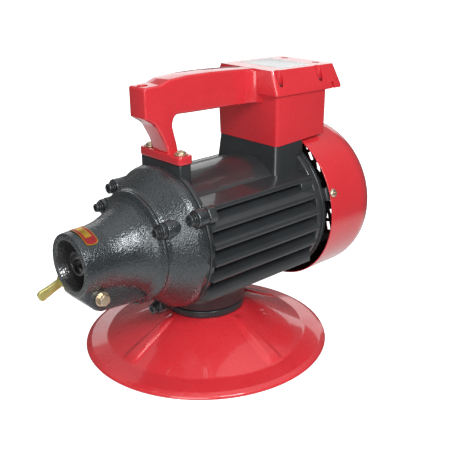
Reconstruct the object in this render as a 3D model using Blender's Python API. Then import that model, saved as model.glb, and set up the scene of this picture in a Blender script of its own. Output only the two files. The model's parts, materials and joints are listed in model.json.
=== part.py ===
"""Concrete vibrator: an electric drive motor on a swivelling dish base.

All dimensions below are millimetres.  Z is up, z = 0 is the floor, the swivel axis
is x = y = 0 and the nose that takes the flexible shaft points towards -Y.  Meshes are
built in those coordinates and scaled to metres when they become objects.
"""
import math

import bmesh
import bpy
from mathutils import Matrix, Vector

MM = 0.001
GAP = 0.3                      # between two pieces that touch

# ---- driving dimensions -------------------------------------------------------------
DISH_RADIUS = 125.0
DISH_CREASE_RADIUS = 106.0
DISH_TOP_RADIUS = 42.0
DISH_TOP_Z = 39.0
SHEET = 2.0
NECK_RADIUS = 41.0

AXIS_Z = 125.5                 # height of the motor shaft
BARREL_RADIUS = 60.5
STATOR_RADIUS = 50.0
FIN_RADIUS = 76.0
FIN_PITCH = 16.4
FINS_PER_SIDE = 6
FIN_SLOPE_LENGTH = 17.0        # run of the sloped upper face, in from the tip
FIN_LIP = 7.4                  # reach of the lowest fin below its middle height
HOOK_X = 58.0
HOOK_Y = 7.0
HOOK_HALF = 3.4
HOOK_TOP = 82.0
HOOK_BOTTOM = 72.5
FRAME_FRONT = -50.0
FRAME_REAR = 96.0
FLANGE_RADIUS = 74.0

BELL_RADIUS = 70.0
BELL_FRONT = -83.0
NOSE_FRONT = -153.5
NOSE_RADIUS = 29.3
SOCKET_RADIUS = 23.0
OUTER_BOLT_CIRCLE = 73.0
INNER_BOLT_CIRCLE = 54.0
NOSE_BOLT_SEAT = -88.0          # where the heads of the three nose bolts bear
BOLT_ANGLES = (30.0, 150.0, 270.0)

COWL_RADIUS = 82.0
COWL_FRONT = 101.0
COWL_REAR = 178.0
COWL_FILLET = 32.0
COWL_SHEET = 1.5
COWL_SCREW_ANGLES = (18.0, 138.0, 258.0)
COWL_SCREW_Y = 105.0
OUTER_SLOTS, INNER_SLOTS = 24, 12
SLOT_HALF = 2.4
DOG_FACE, DOG_CLIMB = -143.0, 5.0
FLANGE_BOLT_CIRCLE = 66.0

BOX_HALF = 44.0
BOX_FRONT = 60.0
BOX_REAR = 131.0
BOX_FLOOR = 199.6
SEAM_Z = 249.6
LID_TOP = 273.2
LID_TOP_HALF = 37.5
LID_RIM_HALF = 46.0
LID_FRONT = 57.5
HOOD_REAR = 150.0
WALL = 3.0
LID_FALL = 0.03                # slope of the lid down to the rear
FLOOR_RISE = 0.04              # slope of the box floor up to the rear
PEDESTAL_REAR = 100.4
COVER_SCREW_X = 38.0
COVER_SCREW_Y = (66.0, 122.0)
HOOD_SCREW_X = 22.0
HOOD_SCREW_Y = 137.0
GRIP_SCREW_Y = -65.0
GRIP_SCREW_Z = 267.8           # floor of the recess that its head sits in
BOX_SCREW_X = 25.0
BOX_SCREW_Y = 82.0
WIRE_HOLE_Y = 72.0
GLAND_Y = 92.0
GLAND_Z = 224.0

GRIP_HALF = 12.3
COLUMN_FRONT = -72.0
FOOT_HALF = 31.0
FOOT_FRONT = -50.7
FOOT_REAR = -34.4
FOOT_BOTTOM = 200.7
FOOT_TOP = 208.7
FOOT_SCREW_X = 22.5

LOCK_Y = -136.0
LOCK_Z = AXIS_Z - 30.5
LOCK_PIN_RADIUS = 6.5
HUB_RADIUS = 9.0
LOBE_HALF = 20.0
ARM_FAR, ARM_NEAR = -42.0, -38.0
ARM_END = (-160.5, 86.0)       # (y, z) middle of the rounded end of the lever arm
ARM_END_RADIUS = 6.5
LEVER_TIP_Y = ARM_END[0] - ARM_END_RADIUS

SWITCH_Z = 230.0
SWITCH_OFF_TILT = 8.0          # degrees that the rocker leans when it is off

# The swivel axis stands this far from the middle of the whole length.
SWIVEL_Y = -(LEVER_TIP_Y + COWL_REAR) / 2

BASE_PIVOT = (0.0, 0.0, 0.0)
MOTOR_PIVOT = (0.0, 0.0, AXIS_Z)
LEVER_PIVOT = (0.0, LOCK_Y, LOCK_Z)
SWITCH_PIVOT = (0.0, BOX_REAR + 2.0, SWITCH_Z)

ROUND = 36                     # sides of the large turned pieces
MEDIUM = 20
SMALL = 10


# ---- materials ----------------------------------------------------------------------
def material(name, colour, roughness, metallic=0.0):
    made = bpy.data.materials.new(name)
    made.use_nodes = True
    shader = made.node_tree.nodes["Principled BSDF"]
    shader.inputs["Base Color"].default_value = (*colour, 1.0)
    shader.inputs["Roughness"].default_value = roughness
    shader.inputs["Metallic"].default_value = metallic
    made.diffuse_color = (*colour, 1.0)
    return made


def make_materials():
    return {
        "red": material("red_enamel", (0.60, 0.02, 0.03), 0.25),
        "hammertone": material("grey_hammertone", (0.05, 0.06, 0.07), 0.35, 0.3),
        "charcoal": material("charcoal_enamel", (0.03, 0.03, 0.035), 0.3),
        "bolt": material("dark_painted_steel", (0.04, 0.045, 0.05), 0.4, 0.5),
        "zinc": material("yellow_zinc", (0.75, 0.58, 0.25), 0.3, 1.0),
        "steel": material("bright_steel", (0.55, 0.55, 0.56), 0.3, 1.0),
        "lamination": material("core_steel", (0.3, 0.3, 0.31), 0.5, 0.9),
        "copper": material("varnished_copper", (0.45, 0.16, 0.06), 0.4, 0.8),
        "rubber": material("black_rubber", (0.02, 0.02, 0.02), 0.7),
        "plastic": material("black_plastic", (0.03, 0.03, 0.03), 0.4),
        "label": material("white_label", (0.85, 0.85, 0.85), 0.4),
        "sticker": material("gold_sticker", (0.8, 0.4, 0.05), 0.3, 0.5),
    }


# ---- solids -------------------------------------------------------------------------
AXIS_TURN = {
    "X": Matrix(((0, 0, 1, 0), (1, 0, 0, 0), (0, 1, 0, 0), (0, 0, 0, 1))),
    "Y": Matrix(((1, 0, 0, 0), (0, 0, 1, 0), (0, 1, 0, 0), (0, 0, 0, 1))),
    "Z": Matrix.Identity(4),
}


def seal(bm):
    """Merge coincident points and turn every face outwards."""
    bmesh.ops.remove_doubles(bm, verts=bm.verts, dist=1e-4)
    bmesh.ops.recalc_face_normals(bm, faces=bm.faces)
    return bm


def prism(outline, low, high, axis="Z"):
    """Extrude an outline between two stations on an axis.

    Outline pairs are (y, z) for axis X, (x, z) for axis Y and (x, y) for axis Z.
    """
    bm = bmesh.new()
    face = bm.faces.new([bm.verts.new((u, v, low)) for u, v in outline])
    grown = bmesh.ops.extrude_face_region(bm, geom=[face])
    top = [item for item in grown["geom"] if isinstance(item, bmesh.types.BMVert)]
    bmesh.ops.translate(bm, verts=top, vec=(0, 0, high - low))
    bm.transform(AXIS_TURN[axis])
    return seal(bm)


def block(x0, x1, y0, y1, z0, z1):
    return prism([(x0, y0), (x1, y0), (x1, y1), (x0, y1)], z0, z1)


def frustum(lower, upper, z0, z1):
    """A block between two rectangles (x0, x1, y0, y1) at two heights."""
    bm = bmesh.new()
    rings = []
    for (x0, x1, y0, y1), z in ((lower, z0), (upper, z1)):
        corners = [(x0, y0, z), (x1, y0, z), (x1, y1, z), (x0, y1, z)]
        rings.append([bm.verts.new(corner) for corner in corners])
    bm.faces.new(rings[0])
    bm.faces.new(rings[1])
    for k in range(4):
        following = (k + 1) % 4
        bm.faces.new((rings[0][k], rings[0][following], rings[1][following], rings[1][k]))
    return seal(bm)


def round_edges(bm, radius, chosen, segments=3):
    """Bevel the edges for which chosen(start, end) is true."""
    edges = [edge for edge in bm.edges if chosen(edge.verts[0].co, edge.verts[1].co)]
    bmesh.ops.bevel(bm, geom=edges, offset=radius, segments=segments, profile=0.5, affect="EDGES")
    return seal(bm)


def upright(start, end):
    """True for an edge that climbs rather than runs level."""
    return abs(start.z - end.z) > 0.7 * (start - end).length


def turned(profile, segments, axis="Y", centre=MOTOR_PIVOT):
    """Spin (radius, station) pairs about an axis through centre.

    A profile that starts on the axis is an open chain with both ends there; any other
    is a closed loop.
    """
    bm = bmesh.new()
    points = [bm.verts.new((radius, 0, station)) for radius, station in profile]
    edges = [bm.edges.new(pair) for pair in zip(points, points[1:])]
    if profile[0][0] > 0:
        edges.append(bm.edges.new((points[-1], points[0])))
    bmesh.ops.spin(bm, geom=points + edges, cent=(0, 0, 0), axis=(0, 0, 1),
                   angle=2 * math.pi, steps=segments, use_merge=True)
    bm.transform(AXIS_TURN[axis])
    offset = Vector(centre)
    offset["XYZ".index(axis)] = 0.0
    bmesh.ops.translate(bm, verts=bm.verts, vec=offset)
    return seal(bm)


def rod(radius, low, high, axis, centre, segments=SMALL):
    """A plain cylinder between two stations on an axis through centre."""
    return turned([(0, low), (radius, low), (radius, high), (0, high)], segments, axis, centre)


def ring(inner, outer, low, high, axis, centre, segments=MEDIUM):
    profile = [(outer, low), (outer, high), (inner, high), (inner, low)]
    return turned(profile, segments, axis, centre)


def hexagon(across_flats, centre=(0.0, 0.0), turn=0.0):
    reach = across_flats / math.sqrt(3)
    angles = [math.radians(turn + 60 * k) for k in range(6)]
    return [(centre[0] + reach * math.cos(a), centre[1] + reach * math.sin(a)) for a in angles]


def combine(operation, body, tools):
    """Boolean the tools into the body, one after the other."""
    for tool in tools:
        holder = scratch_object(body)
        cutter = scratch_object(tool)
        modifier = holder.modifiers.new(operation.lower(), "BOOLEAN")
        modifier.operation = operation
        modifier.solver = "EXACT"
        modifier.object = cutter
        depsgraph = bpy.context.evaluated_depsgraph_get()
        result = bpy.data.meshes.new_from_object(holder.evaluated_get(depsgraph))
        body = bmesh.new()
        body.from_mesh(result)
        seal(body)
        bpy.data.objects.remove(cutter, do_unlink=True)
        bpy.data.objects.remove(holder, do_unlink=True)
    return body


def scratch_object(bm):
    mesh = bpy.data.meshes.new("scratch")
    bm.to_mesh(mesh)
    bm.free()
    holder = bpy.data.objects.new("scratch", mesh)
    bpy.context.scene.collection.objects.link(holder)
    return holder


def union(body, *tools):
    return combine("UNION", body, tools)


def carve(body, *tools):
    return combine("DIFFERENCE", body, tools)


def on_circle(radius, angle):
    """The (x, z) point at a radius and angle about the motor axis."""
    spread = math.radians(angle)
    return radius * math.cos(spread), AXIS_Z + radius * math.sin(spread)


def about_motor_axis(bm, angle):
    """Turn a piece made at 0 degrees round the motor axis."""
    turn = Matrix.Rotation(math.radians(-angle), 4, "Y")
    lift = Matrix.Translation((0, 0, AXIS_Z))
    bm.transform(lift @ turn @ lift.inverted())
    return bm


# ---- objects ------------------------------------------------------------------------
class Assembly:
    """Makes the named objects and hangs each on its body's empty."""

    def __init__(self):
        self.materials = make_materials()
        self.bodies = {}

    def body(self, name, pivot, parent=None):
        empty = bpy.data.objects.new(name, None)
        empty.empty_display_size = 0.02
        bpy.context.scene.collection.objects.link(empty)
        base = self.bodies[parent][1] if parent else (0.0, -SWIVEL_Y, 0.0)
        empty.parent = self.bodies[parent][0] if parent else None
        empty.location = (Vector(pivot) - Vector(base)) * MM
        self.bodies[name] = (empty, pivot)

    def add(self, name, bm, finish, body):
        empty, pivot = self.bodies[body]
        bmesh.ops.translate(bm, verts=bm.verts, vec=-Vector(pivot))
        bmesh.ops.scale(bm, verts=bm.verts, vec=(MM, MM, MM))
        mesh = bpy.data.meshes.new(name)
        bm.to_mesh(mesh)
        bm.free()
        mesh.shade_smooth()
        mesh.set_sharp_from_angle(angle=math.radians(35))
        mesh.materials.append(self.materials[finish])
        piece = bpy.data.objects.new(name, mesh)
        bpy.context.scene.collection.objects.link(piece)
        piece.parent = empty


# ---- base ---------------------------------------------------------------------------
RIB_HALF_ANGLE = 6.0           # degrees, half the width of one pressed rib
RIB_RISE = 3.0
RING_SCREW_CIRCLE = 30.0
RING_TOP = 46.0
WASHER_TOP = 47.7
NECK_BOTTOM = 48.0
STUD_RADIUS = 8.0


def rib_shape(radius, angle):
    """Rise of the four radial ribs pressed into the cone, 0 to 1."""
    off = (angle + 45.0) % 90.0 - 45.0
    across = max(0.0, 1.0 - abs(off) / RIB_HALF_ANGLE)
    start, full, fade, end = DISH_TOP_RADIUS, 50.0, 96.0, DISH_CREASE_RADIUS - 2
    along = min((radius - start) / (full - start), (end - radius) / (end - fade), 1.0)
    return across * max(0.0, along)


def base_dish():
    """Pressed sheet dish with four radial ribs and a hemmed rim that stands on the floor."""
    crease_z, band_z = 7.0, 5.5
    upper = [(8.6, DISH_TOP_Z), (26.0, DISH_TOP_Z), (DISH_TOP_RADIUS - 1, DISH_TOP_Z)]
    cone_top = DISH_TOP_Z - 1.2
    for step in range(7):
        share = step / 6
        radius = DISH_TOP_RADIUS + 1 + share * (DISH_CREASE_RADIUS - DISH_TOP_RADIUS - 3)
        upper.append((radius, cone_top + share * (crease_z + 1.2 - cone_top)))
    upper += [(DISH_CREASE_RADIUS, crease_z), (119.0, band_z), (123.0, 4.0), (DISH_RADIUS, 2.0)]
    rim = [(DISH_RADIUS - 0.8, 0.0), (118.5, 0.0), (118.5, 1.5), (121.8, 1.8)]
    lower = [(radius - 0.6, z - SHEET) for radius, z in upper[1:-3]]
    lower[-1] = (118.0, band_z - SHEET)
    chain = upper + rim + lower[::-1] + [(8.6, DISH_TOP_Z - SHEET)]
    steps = 48
    bm = bmesh.new()
    rows = []
    for k in range(steps):
        angle = 360.0 * k / steps
        turn = math.radians(angle)
        row = []
        for radius, z in chain:
            lift = RIB_RISE * rib_shape(radius, angle)
            point = (radius * math.cos(turn), radius * math.sin(turn), z + lift)
            row.append(bm.verts.new(point))
        rows.append(row)
    for k, row in enumerate(rows):
        following = rows[(k + 1) % steps]
        for i in range(len(chain)):
            j = (i + 1) % len(chain)
            bm.faces.new((row[i], row[j], following[j], following[i]))
    holes = [rod(2.8, 30, 45, "Z", ring_screw_place(k)) for k in range(3)]
    return carve(seal(bm), *holes)


def ring_screw_place(index):
    turn = math.radians(45 + 120 * index)
    return RING_SCREW_CIRCLE * math.cos(turn), RING_SCREW_CIRCLE * math.sin(turn), 0.0


def pan_screw(shank, head, head_low, head_high, tip, axis, centre):
    """Round-headed screw; the tip lies beyond head_low or head_high."""
    rim = 0.25 * (head_high - head_low)
    if tip > head_high:
        profile = [(0, head_low), (head - rim, head_low), (head, head_low + 2 * rim),
                   (head, head_high), (shank, head_high), (shank, tip), (0, tip)]
    else:
        profile = [(0, tip), (shank, tip), (shank, head_low), (head, head_low),
                   (head, head_high - 2 * rim), (head - rim, head_high), (0, head_high)]
    return turned(profile, SMALL, axis, centre)


def make_base(assembly):
    floor_pivot = BASE_PIVOT
    assembly.add("base_dish", base_dish(), "red", "base")
    plate = ring(12.0, 40.0, DISH_TOP_Z + GAP, RING_TOP, "Z", floor_pivot, ROUND)
    holes = [rod(2.8, 30, 44.6, "Z", ring_screw_place(k)) for k in range(3)]
    assembly.add("swivel_ring", carve(plate, *holes), "charcoal", "base")
    washer = ring(12.0, 38.0, RING_TOP + GAP, WASHER_TOP, "Z", floor_pivot, ROUND)
    assembly.add("thrust_washer", washer, "plastic", "base")
    under = DISH_TOP_Z - SHEET
    for k in range(3):
        screw = pan_screw(2.5, 4.2, under - GAP - 2.7, under - GAP, 44.0, "Z", ring_screw_place(k))
        assembly.add(f"ring_screw_{k + 1}", screw, "zinc", "base")
    cup = ring(8.6, 24.0, under - GAP - 3.0, under - GAP, "Z", floor_pivot)
    assembly.add("pivot_washer", cup, "zinc", "base")


# ---- motor castings -----------------------------------------------------------------
def lean(bm):
    """Slope the lid down and the box floor up towards the rear of the switch box."""
    for vert in bm.verts:
        behind = max(0.0, vert.co.y - BOX_FRONT)
        of_lid = max(0.0, min(1.0, (vert.co.z - 242.0) / 4))
        of_floor = max(0.0, min(1.0, (215.0 - vert.co.z) / 10)) if vert.co.z > 195.0 else 0.0
        vert.co.z += behind * (FLOOR_RISE * of_floor - LID_FALL * of_lid)
    return bm


def fin(index, side):
    """One cooling fin, standing out level; the lowest has a deep lip, the top one a flat top."""
    height = FIN_PITCH * (index - (FINS_PER_SIDE - 1) / 2)
    tip = math.sqrt(FIN_RADIUS ** 2 - height ** 2)
    root = 40.0
    z = AXIS_Z + height
    lip = FIN_LIP if index == 0 else 2.4
    outline = [(side * root, z - lip - 2.2), (side * tip, z - lip), (side * tip, z + 2.4)]
    if index < FINS_PER_SIDE - 1:
        outline += [(side * (tip - FIN_SLOPE_LENGTH), z + 10.9), (side * root, z + 10.9)]
    else:
        outline.append((side * root, z + 4.6))
    return prism(outline, FRAME_FRONT + 1.5, FRAME_REAR - 7, "Y")


def bolt_place(circle, angle):
    x, z = on_circle(circle, angle)
    return x, 0.0, z


def stator_frame():
    """Finned casting with the neck, the handle pad and the switch-box pedestal."""
    core = rod(BARREL_RADIUS, FRAME_FRONT, FRAME_REAR, "Y", MOTOR_PIVOT, ROUND)
    front_band = rod(71.0, FRAME_FRONT, FRAME_FRONT + 5.5, "Y", MOTOR_PIVOT, ROUND)
    rear_band = rod(FLANGE_RADIUS, FRAME_REAR - 8, FRAME_REAR, "Y", MOTOR_PIVOT, ROUND)
    pieces = [front_band, rear_band]
    for k in range(FINS_PER_SIDE):
        pieces += [fin(k, side) for side in (-1, 1)]
    pieces.append(rod(NECK_RADIUS, NECK_BOTTOM, 90.0, "Z", BASE_PIVOT, ROUND))
    pad = block(1 - FOOT_HALF, FOOT_HALF - 1, FOOT_FRONT + 0.9, FOOT_REAR - 2, 160.0, FOOT_BOTTOM - GAP)
    pieces.append(round_edges(pad, 2.0, upright, 2))
    pedestal = frustum((-45.5, 45.5, 56.5, PEDESTAL_REAR), (-42.2, 42.2, BOX_FRONT + 0.5, PEDESTAL_REAR),
                       162.0, BOX_FLOOR - GAP)
    over_shield = rod(FLANGE_RADIUS + 1.2, FRAME_REAR, FRAME_REAR + 20, "Y", MOTOR_PIVOT, ROUND)
    pieces.append(carve(lean(round_edges(pedestal, 5.0, upright)), over_shield))
    for angle in BOLT_ANGLES:
        low_bolt = angle > 180
        reach = -41.0
        pieces.append(rod(8.5 if not low_bolt else 7.2, FRAME_FRONT, reach, "Y",
                          bolt_place(OUTER_BOLT_CIRCLE - 1, angle)))
        web = block(50.0, 70.0, FRAME_FRONT, reach, AXIS_Z - 7, AXIS_Z + 7)
        pieces.append(about_motor_axis(web, angle))
        pieces.append(rod(8.0, FRAME_REAR - 22, FRAME_REAR, "Y", bolt_place(FLANGE_BOLT_CIRCLE, angle)))
    body = union(core, *pieces)
    cuts = [rod(STATOR_RADIUS, FRAME_FRONT - 5, FRAME_REAR + 5, "Y", MOTOR_PIVOT, ROUND)]
    for angle in BOLT_ANGLES:
        cuts.append(rod(4.3, FRAME_FRONT - 5, -43.7, "Y", bolt_place(OUTER_BOLT_CIRCLE, angle)))
        cuts.append(rod(3.3, FRAME_REAR - 14.5, FRAME_REAR + 5, "Y", bolt_place(FLANGE_BOLT_CIRCLE, angle)))
    for side in (-1, 1):
        foot = (side * FOOT_SCREW_X, (FOOT_FRONT + FOOT_REAR) / 2, 0)
        cuts.append(rod(2.8, 189.5, FOOT_BOTTOM + 5, "Z", foot))
        cuts.append(rod(3.3, 187.5, BOX_FLOOR + 5, "Z", (side * BOX_SCREW_X, BOX_SCREW_Y, 0)))
    cuts.append(rod(7.0, AXIS_Z + 40, BOX_FLOOR + 5, "Z", (0, WIRE_HOLE_Y, 0)))
    cuts.append(rod(STUD_RADIUS + GAP, NECK_BOTTOM - 5, 66.3, "Z", BASE_PIVOT, MEDIUM))
    for y in (HOOK_Y - HOOK_HALF + 0.8, HOOK_Y + HOOK_HALF - 0.8):
        cuts.append(block(HOOK_X - 1.2, HOOK_X + 1.2, y - 1.2, y + 1.2, 70.0, HOOK_TOP + GAP))
    return carve(body, *cuts)


def front_bell():
    """Bearing housing: a domed casting with three outer bosses and three lugs in front."""
    profile = [(BELL_RADIUS, FRAME_FRONT - GAP), (BELL_RADIUS, -55.5), (68.0, -60.0),
               (64.5, -65.5), (60.0, -70.5), (56.0, -75.5), (53.0, -79.5), (52.0, BELL_FRONT),
               (11.5, BELL_FRONT), (11.5, -81.0), (23.8, -81.0), (23.8, -66.0),
               (29.5, -66.0), (29.5, -76.0), (47.0, -76.0), (55.0, -70.0), (62.5, -60.0),
               (62.5, FRAME_FRONT - GAP)]
    body = turned(profile, ROUND)
    extra, cuts = [], []
    for angle in BOLT_ANGLES:
        outer = bolt_place(OUTER_BOLT_CIRCLE, angle)
        inner = bolt_place(INNER_BOLT_CIRCLE, angle)
        extra.append(rod(8.3 if angle < 180 else 7.2, -62.0, FRAME_FRONT - GAP, "Y", outer))
        extra.append(rod(8.0, BELL_FRONT, -66.0, "Y", inner))
        cuts.append(rod(8.4, -85.0, -62.0, "Y", outer))
        cuts.append(rod(4.3, -70.0, FRAME_FRONT + 5, "Y", outer))
        cuts.append(rod(3.3, BELL_FRONT - 5, -73.7, "Y", inner))
    return carve(union(body, *extra), *cuts)


def nose_housing():
    """Coupling nose: a flared casting with the shaft socket and the locking lobe."""
    flange = BELL_FRONT - GAP
    profile = [(52.0, flange), (52.0, -85.5), (50.5, -87.5), (47.0, -88.5), (43.5, -91.5),
               (40.5, -96.0), (37.8, -101.0), (34.6, -108.5), (32.2, -116.0), (30.8, -124.0),
               (30.2, -136.0), (NOSE_RADIUS, -152.5), (NOSE_RADIUS - 1, NOSE_FRONT),
               (SOCKET_RADIUS + 1, NOSE_FRONT), (SOCKET_RADIUS, -152.5), (SOCKET_RADIUS, -103.5),
               (14.0, -103.5), (14.0, -98.5),
               (33.0, -96.0), (38.5, -90.0), (44.0, -86.5), (44.0, flange)]
    body = turned(profile, ROUND)
    centre = AXIS_Z
    lobe = prism([(-151.0, centre - 18.7), (-151.0, centre - 31.5), (-143.0, centre - 40.5),
                  (-137.0, centre - 43.8), (-122.0, centre - 44.8), (-95.0, centre - 47.5),
                  (-88.0, centre - 47.5), (-88.0, centre - 41.0), (-96.0, centre - 34.0),
                  (-98.5, centre - 18.7)], -LOBE_HALF, LOBE_HALF, "X")
    extra = [lobe]
    cuts = [rod(SOCKET_RADIUS, NOSE_FRONT - 5, -103.5, "Y", MOTOR_PIVOT, ROUND),
            rod(LOCK_PIN_RADIUS + GAP, -60, 60, "X", LEVER_PIVOT, MEDIUM),
            rod(HUB_RADIUS + 0.8, -60, -LOBE_HALF, "X", LEVER_PIVOT, MEDIUM),
            rod(HUB_RADIUS - 0.6, LOBE_HALF, 60, "X", LEVER_PIVOT, MEDIUM),
            rod(44.0, -86.5, flange + 5, "Y", MOTOR_PIVOT, ROUND)]
    for angle in BOLT_ANGLES:
        place = bolt_place(INNER_BOLT_CIRCLE, angle)
        extra.append(rod(8.0, NOSE_BOLT_SEAT, flange, "Y", place))
        cuts.append(rod(7.2, -112.0, NOSE_BOLT_SEAT, "Y", place))
        cuts.append(rod(3.3, -95.0, flange + 5, "Y", place))
    return carve(union(body, *extra), *cuts)


def rear_shield():
    """Rear bearing housing with three tabs that carry the fan cowl."""
    front = FRAME_REAR + GAP
    profile = [(FLANGE_RADIUS, front), (FLANGE_RADIUS, 100.5), (69.0, 102.0), (30.0, 107.0),
               (26.0, 113.0), (9.5, 113.0), (9.5, 110.0), (20.3, 110.0), (20.3, front)]
    body = turned(profile, ROUND)
    tabs, cuts = [], []
    for angle in COWL_SCREW_ANGLES:
        tab = block(58.0, COWL_RADIUS - COWL_SHEET - 3 * GAP, -6.5, 6.5, 0, 12)
        tab.transform(Matrix(((1, 0, 0, 0), (0, 0, 1, 98.5), (0, 1, 0, AXIS_Z), (0, 0, 0, 1))))
        tabs.append(about_motor_axis(seal(tab), angle))
        hole = rod(2.3, 68.5, 90, "X", (0, COWL_SCREW_Y, AXIS_Z))
        cuts.append(about_motor_axis(hole, angle))
    for angle in BOLT_ANGLES:
        place = bolt_place(FLANGE_BOLT_CIRCLE, angle)
        cuts.append(rod(6.8, 101.0, 115.0, "Y", place))
        cuts.append(rod(3.3, front - 5, 105.0, "Y", place))
    return carve(union(body, *tabs), *cuts)


def cowl_profile(radius, rear, fillet, inward):
    """Half outline of the cowl from its open front round the fillet to the axis."""
    points = [(radius, COWL_FRONT), (radius, rear - fillet)]
    for k in range(1, 6):
        turn = math.radians(18 * k)
        points.append((radius - fillet + fillet * math.cos(turn),
                       rear - fillet + fillet * math.sin(turn)))
    points.append((0.0, rear))
    return points[::-1] if inward else points


def cowl_slot(start, end):
    """Radial slot through the cowl's rear face."""
    return block(start, end, COWL_REAR - 8, COWL_REAR + 5, AXIS_Z - SLOT_HALF, AXIS_Z + SLOT_HALF)


def fan_cowl():
    """Drum that covers the fan, with slots in its rear face."""
    outer = cowl_profile(COWL_RADIUS, COWL_REAR, COWL_FILLET, False)
    inner = cowl_profile(COWL_RADIUS - COWL_SHEET, COWL_REAR - COWL_SHEET,
                         COWL_FILLET - COWL_SHEET, True)
    loop = inner + outer
    bm = turned(loop, ROUND)
    cuts = []
    for k in range(OUTER_SLOTS):
        for start, end in ((30.0, 39.5), (43.5, 53.0)):
            cuts.append(about_motor_axis(cowl_slot(start, end), 360.0 * k / OUTER_SLOTS))
    for k in range(INNER_SLOTS):
        cuts.append(about_motor_axis(cowl_slot(15.0, 26.0), 360.0 * (k + 0.5) / INNER_SLOTS))
    for angle in COWL_SCREW_ANGLES:
        hole = rod(2.8, 75, 90, "X", (0, COWL_SCREW_Y, AXIS_Z))
        cuts.append(about_motor_axis(hole, angle))
    return carve(bm, *cuts)


def hex_bolt(across_flats, head_low, head_high, shank, tip, place):
    """Hex-headed bolt along the motor axis; the tip lies beyond head_high or head_low."""
    x, _, z = place
    head = prism(hexagon(across_flats, (x, z), 15.0), head_low, head_high, "Y")
    inside = (head_low + head_high) / 2
    stem = rod(shank, min(inside, tip), max(inside, tip), "Y", place)
    return union(head, stem)


def wire_hook():
    """Small bent staple pressed up into the lowest near fin."""
    y0, y1 = HOOK_Y - HOOK_HALF, HOOK_Y + HOOK_HALF
    wire = 1.6
    outline = [(y0, HOOK_TOP), (y0, HOOK_BOTTOM + 1.5), (y0 + 1.5, HOOK_BOTTOM), (y1 - 1.5, HOOK_BOTTOM),
               (y1, HOOK_BOTTOM + 1.5), (y1, HOOK_TOP), (y1 - wire, HOOK_TOP),
               (y1 - wire, HOOK_BOTTOM + wire + 0.6), (y1 - wire - 0.6, HOOK_BOTTOM + wire),
               (y0 + wire + 0.6, HOOK_BOTTOM + wire), (y0 + wire, HOOK_BOTTOM + wire + 0.6),
               (y0 + wire, HOOK_TOP)]
    return prism(outline, HOOK_X - wire / 2, HOOK_X + wire / 2, "X")


def make_castings(assembly):
    assembly.add("stator_frame", stator_frame(), "charcoal", "motor")
    assembly.add("front_bell", front_bell(), "hammertone", "motor")
    assembly.add("nose_housing", nose_housing(), "hammertone", "motor")
    assembly.add("rear_shield", rear_shield(), "charcoal", "motor")
    assembly.add("fan_cowl", fan_cowl(), "red", "motor")
    for k, angle in enumerate(BOLT_ANGLES, 1):
        outer = bolt_place(OUTER_BOLT_CIRCLE, angle)
        inner = bolt_place(INNER_BOLT_CIRCLE, angle)
        rear = bolt_place(FLANGE_BOLT_CIRCLE, angle)
        bolt = hex_bolt(12.0, -68.3, -62.0 - GAP, 4.0, -44.0, outer)
        assembly.add(f"bell_bolt_{k}", bolt, "bolt", "motor")
        bolt = hex_bolt(9.0, NOSE_BOLT_SEAT - 6.3, NOSE_BOLT_SEAT - GAP, 3.0, -74.0, inner)
        assembly.add(f"nose_bolt_{k}", bolt, "bolt", "motor")
        bolt = hex_bolt(10.0, 101.0 + GAP, 105.3, 3.0, FRAME_REAR - 14.0, rear)
        assembly.add(f"shield_bolt_{k}", bolt, "bolt", "motor")
    for k, angle in enumerate(COWL_SCREW_ANGLES, 1):
        screw = pan_screw(2.0, 4.5, COWL_RADIUS + GAP, COWL_RADIUS + 3.2, 69.0, "X",
                          (0, COWL_SCREW_Y, AXIS_Z))
        assembly.add(f"cowl_screw_{k}", about_motor_axis(screw, angle), "zinc", "motor")
    assembly.add("wire_hook", wire_hook(), "steel", "motor")


# ---- handle and switch box ----------------------------------------------------------
# the arched joint line along the grip, from the box to the column, as (y, z)
SEAM_LINE = ((BOX_FRONT - 2, SEAM_Z), (53.0, 252.5), (38.0, 256.0), (12.0, 258.6), (-10.0, 258.6),
             (-29.0, 255.2), (-50.0, 249.6), (COLUMN_FRONT, 245.5))


def grip_flare(low, high):
    """The spread of the grip where it runs into the front of the box."""
    edge = [(GRIP_HALF - 1, 46.0), (GRIP_HALF + 0.1, 50.0), (GRIP_HALF + 1.2, 54.0),
            (GRIP_HALF + 3.6, 57.4), (GRIP_HALF + 7.0, BOX_FRONT - 1.2), (GRIP_HALF + 7.0, BOX_FRONT + 1)]
    return prism(edge + [(-x, y) for x, y in reversed(edge)], low, high)


def plus_outline(wide, narrow, stations):
    """Box-cavity outline whose corners are left solid for the screws."""
    y0, y1, y2, y3 = stations
    right = [(narrow, y0), (narrow, y1), (wide, y1), (wide, y2), (narrow, y2), (narrow, y3)]
    return right + [(-x, y) for x, y in reversed(right)]


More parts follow.
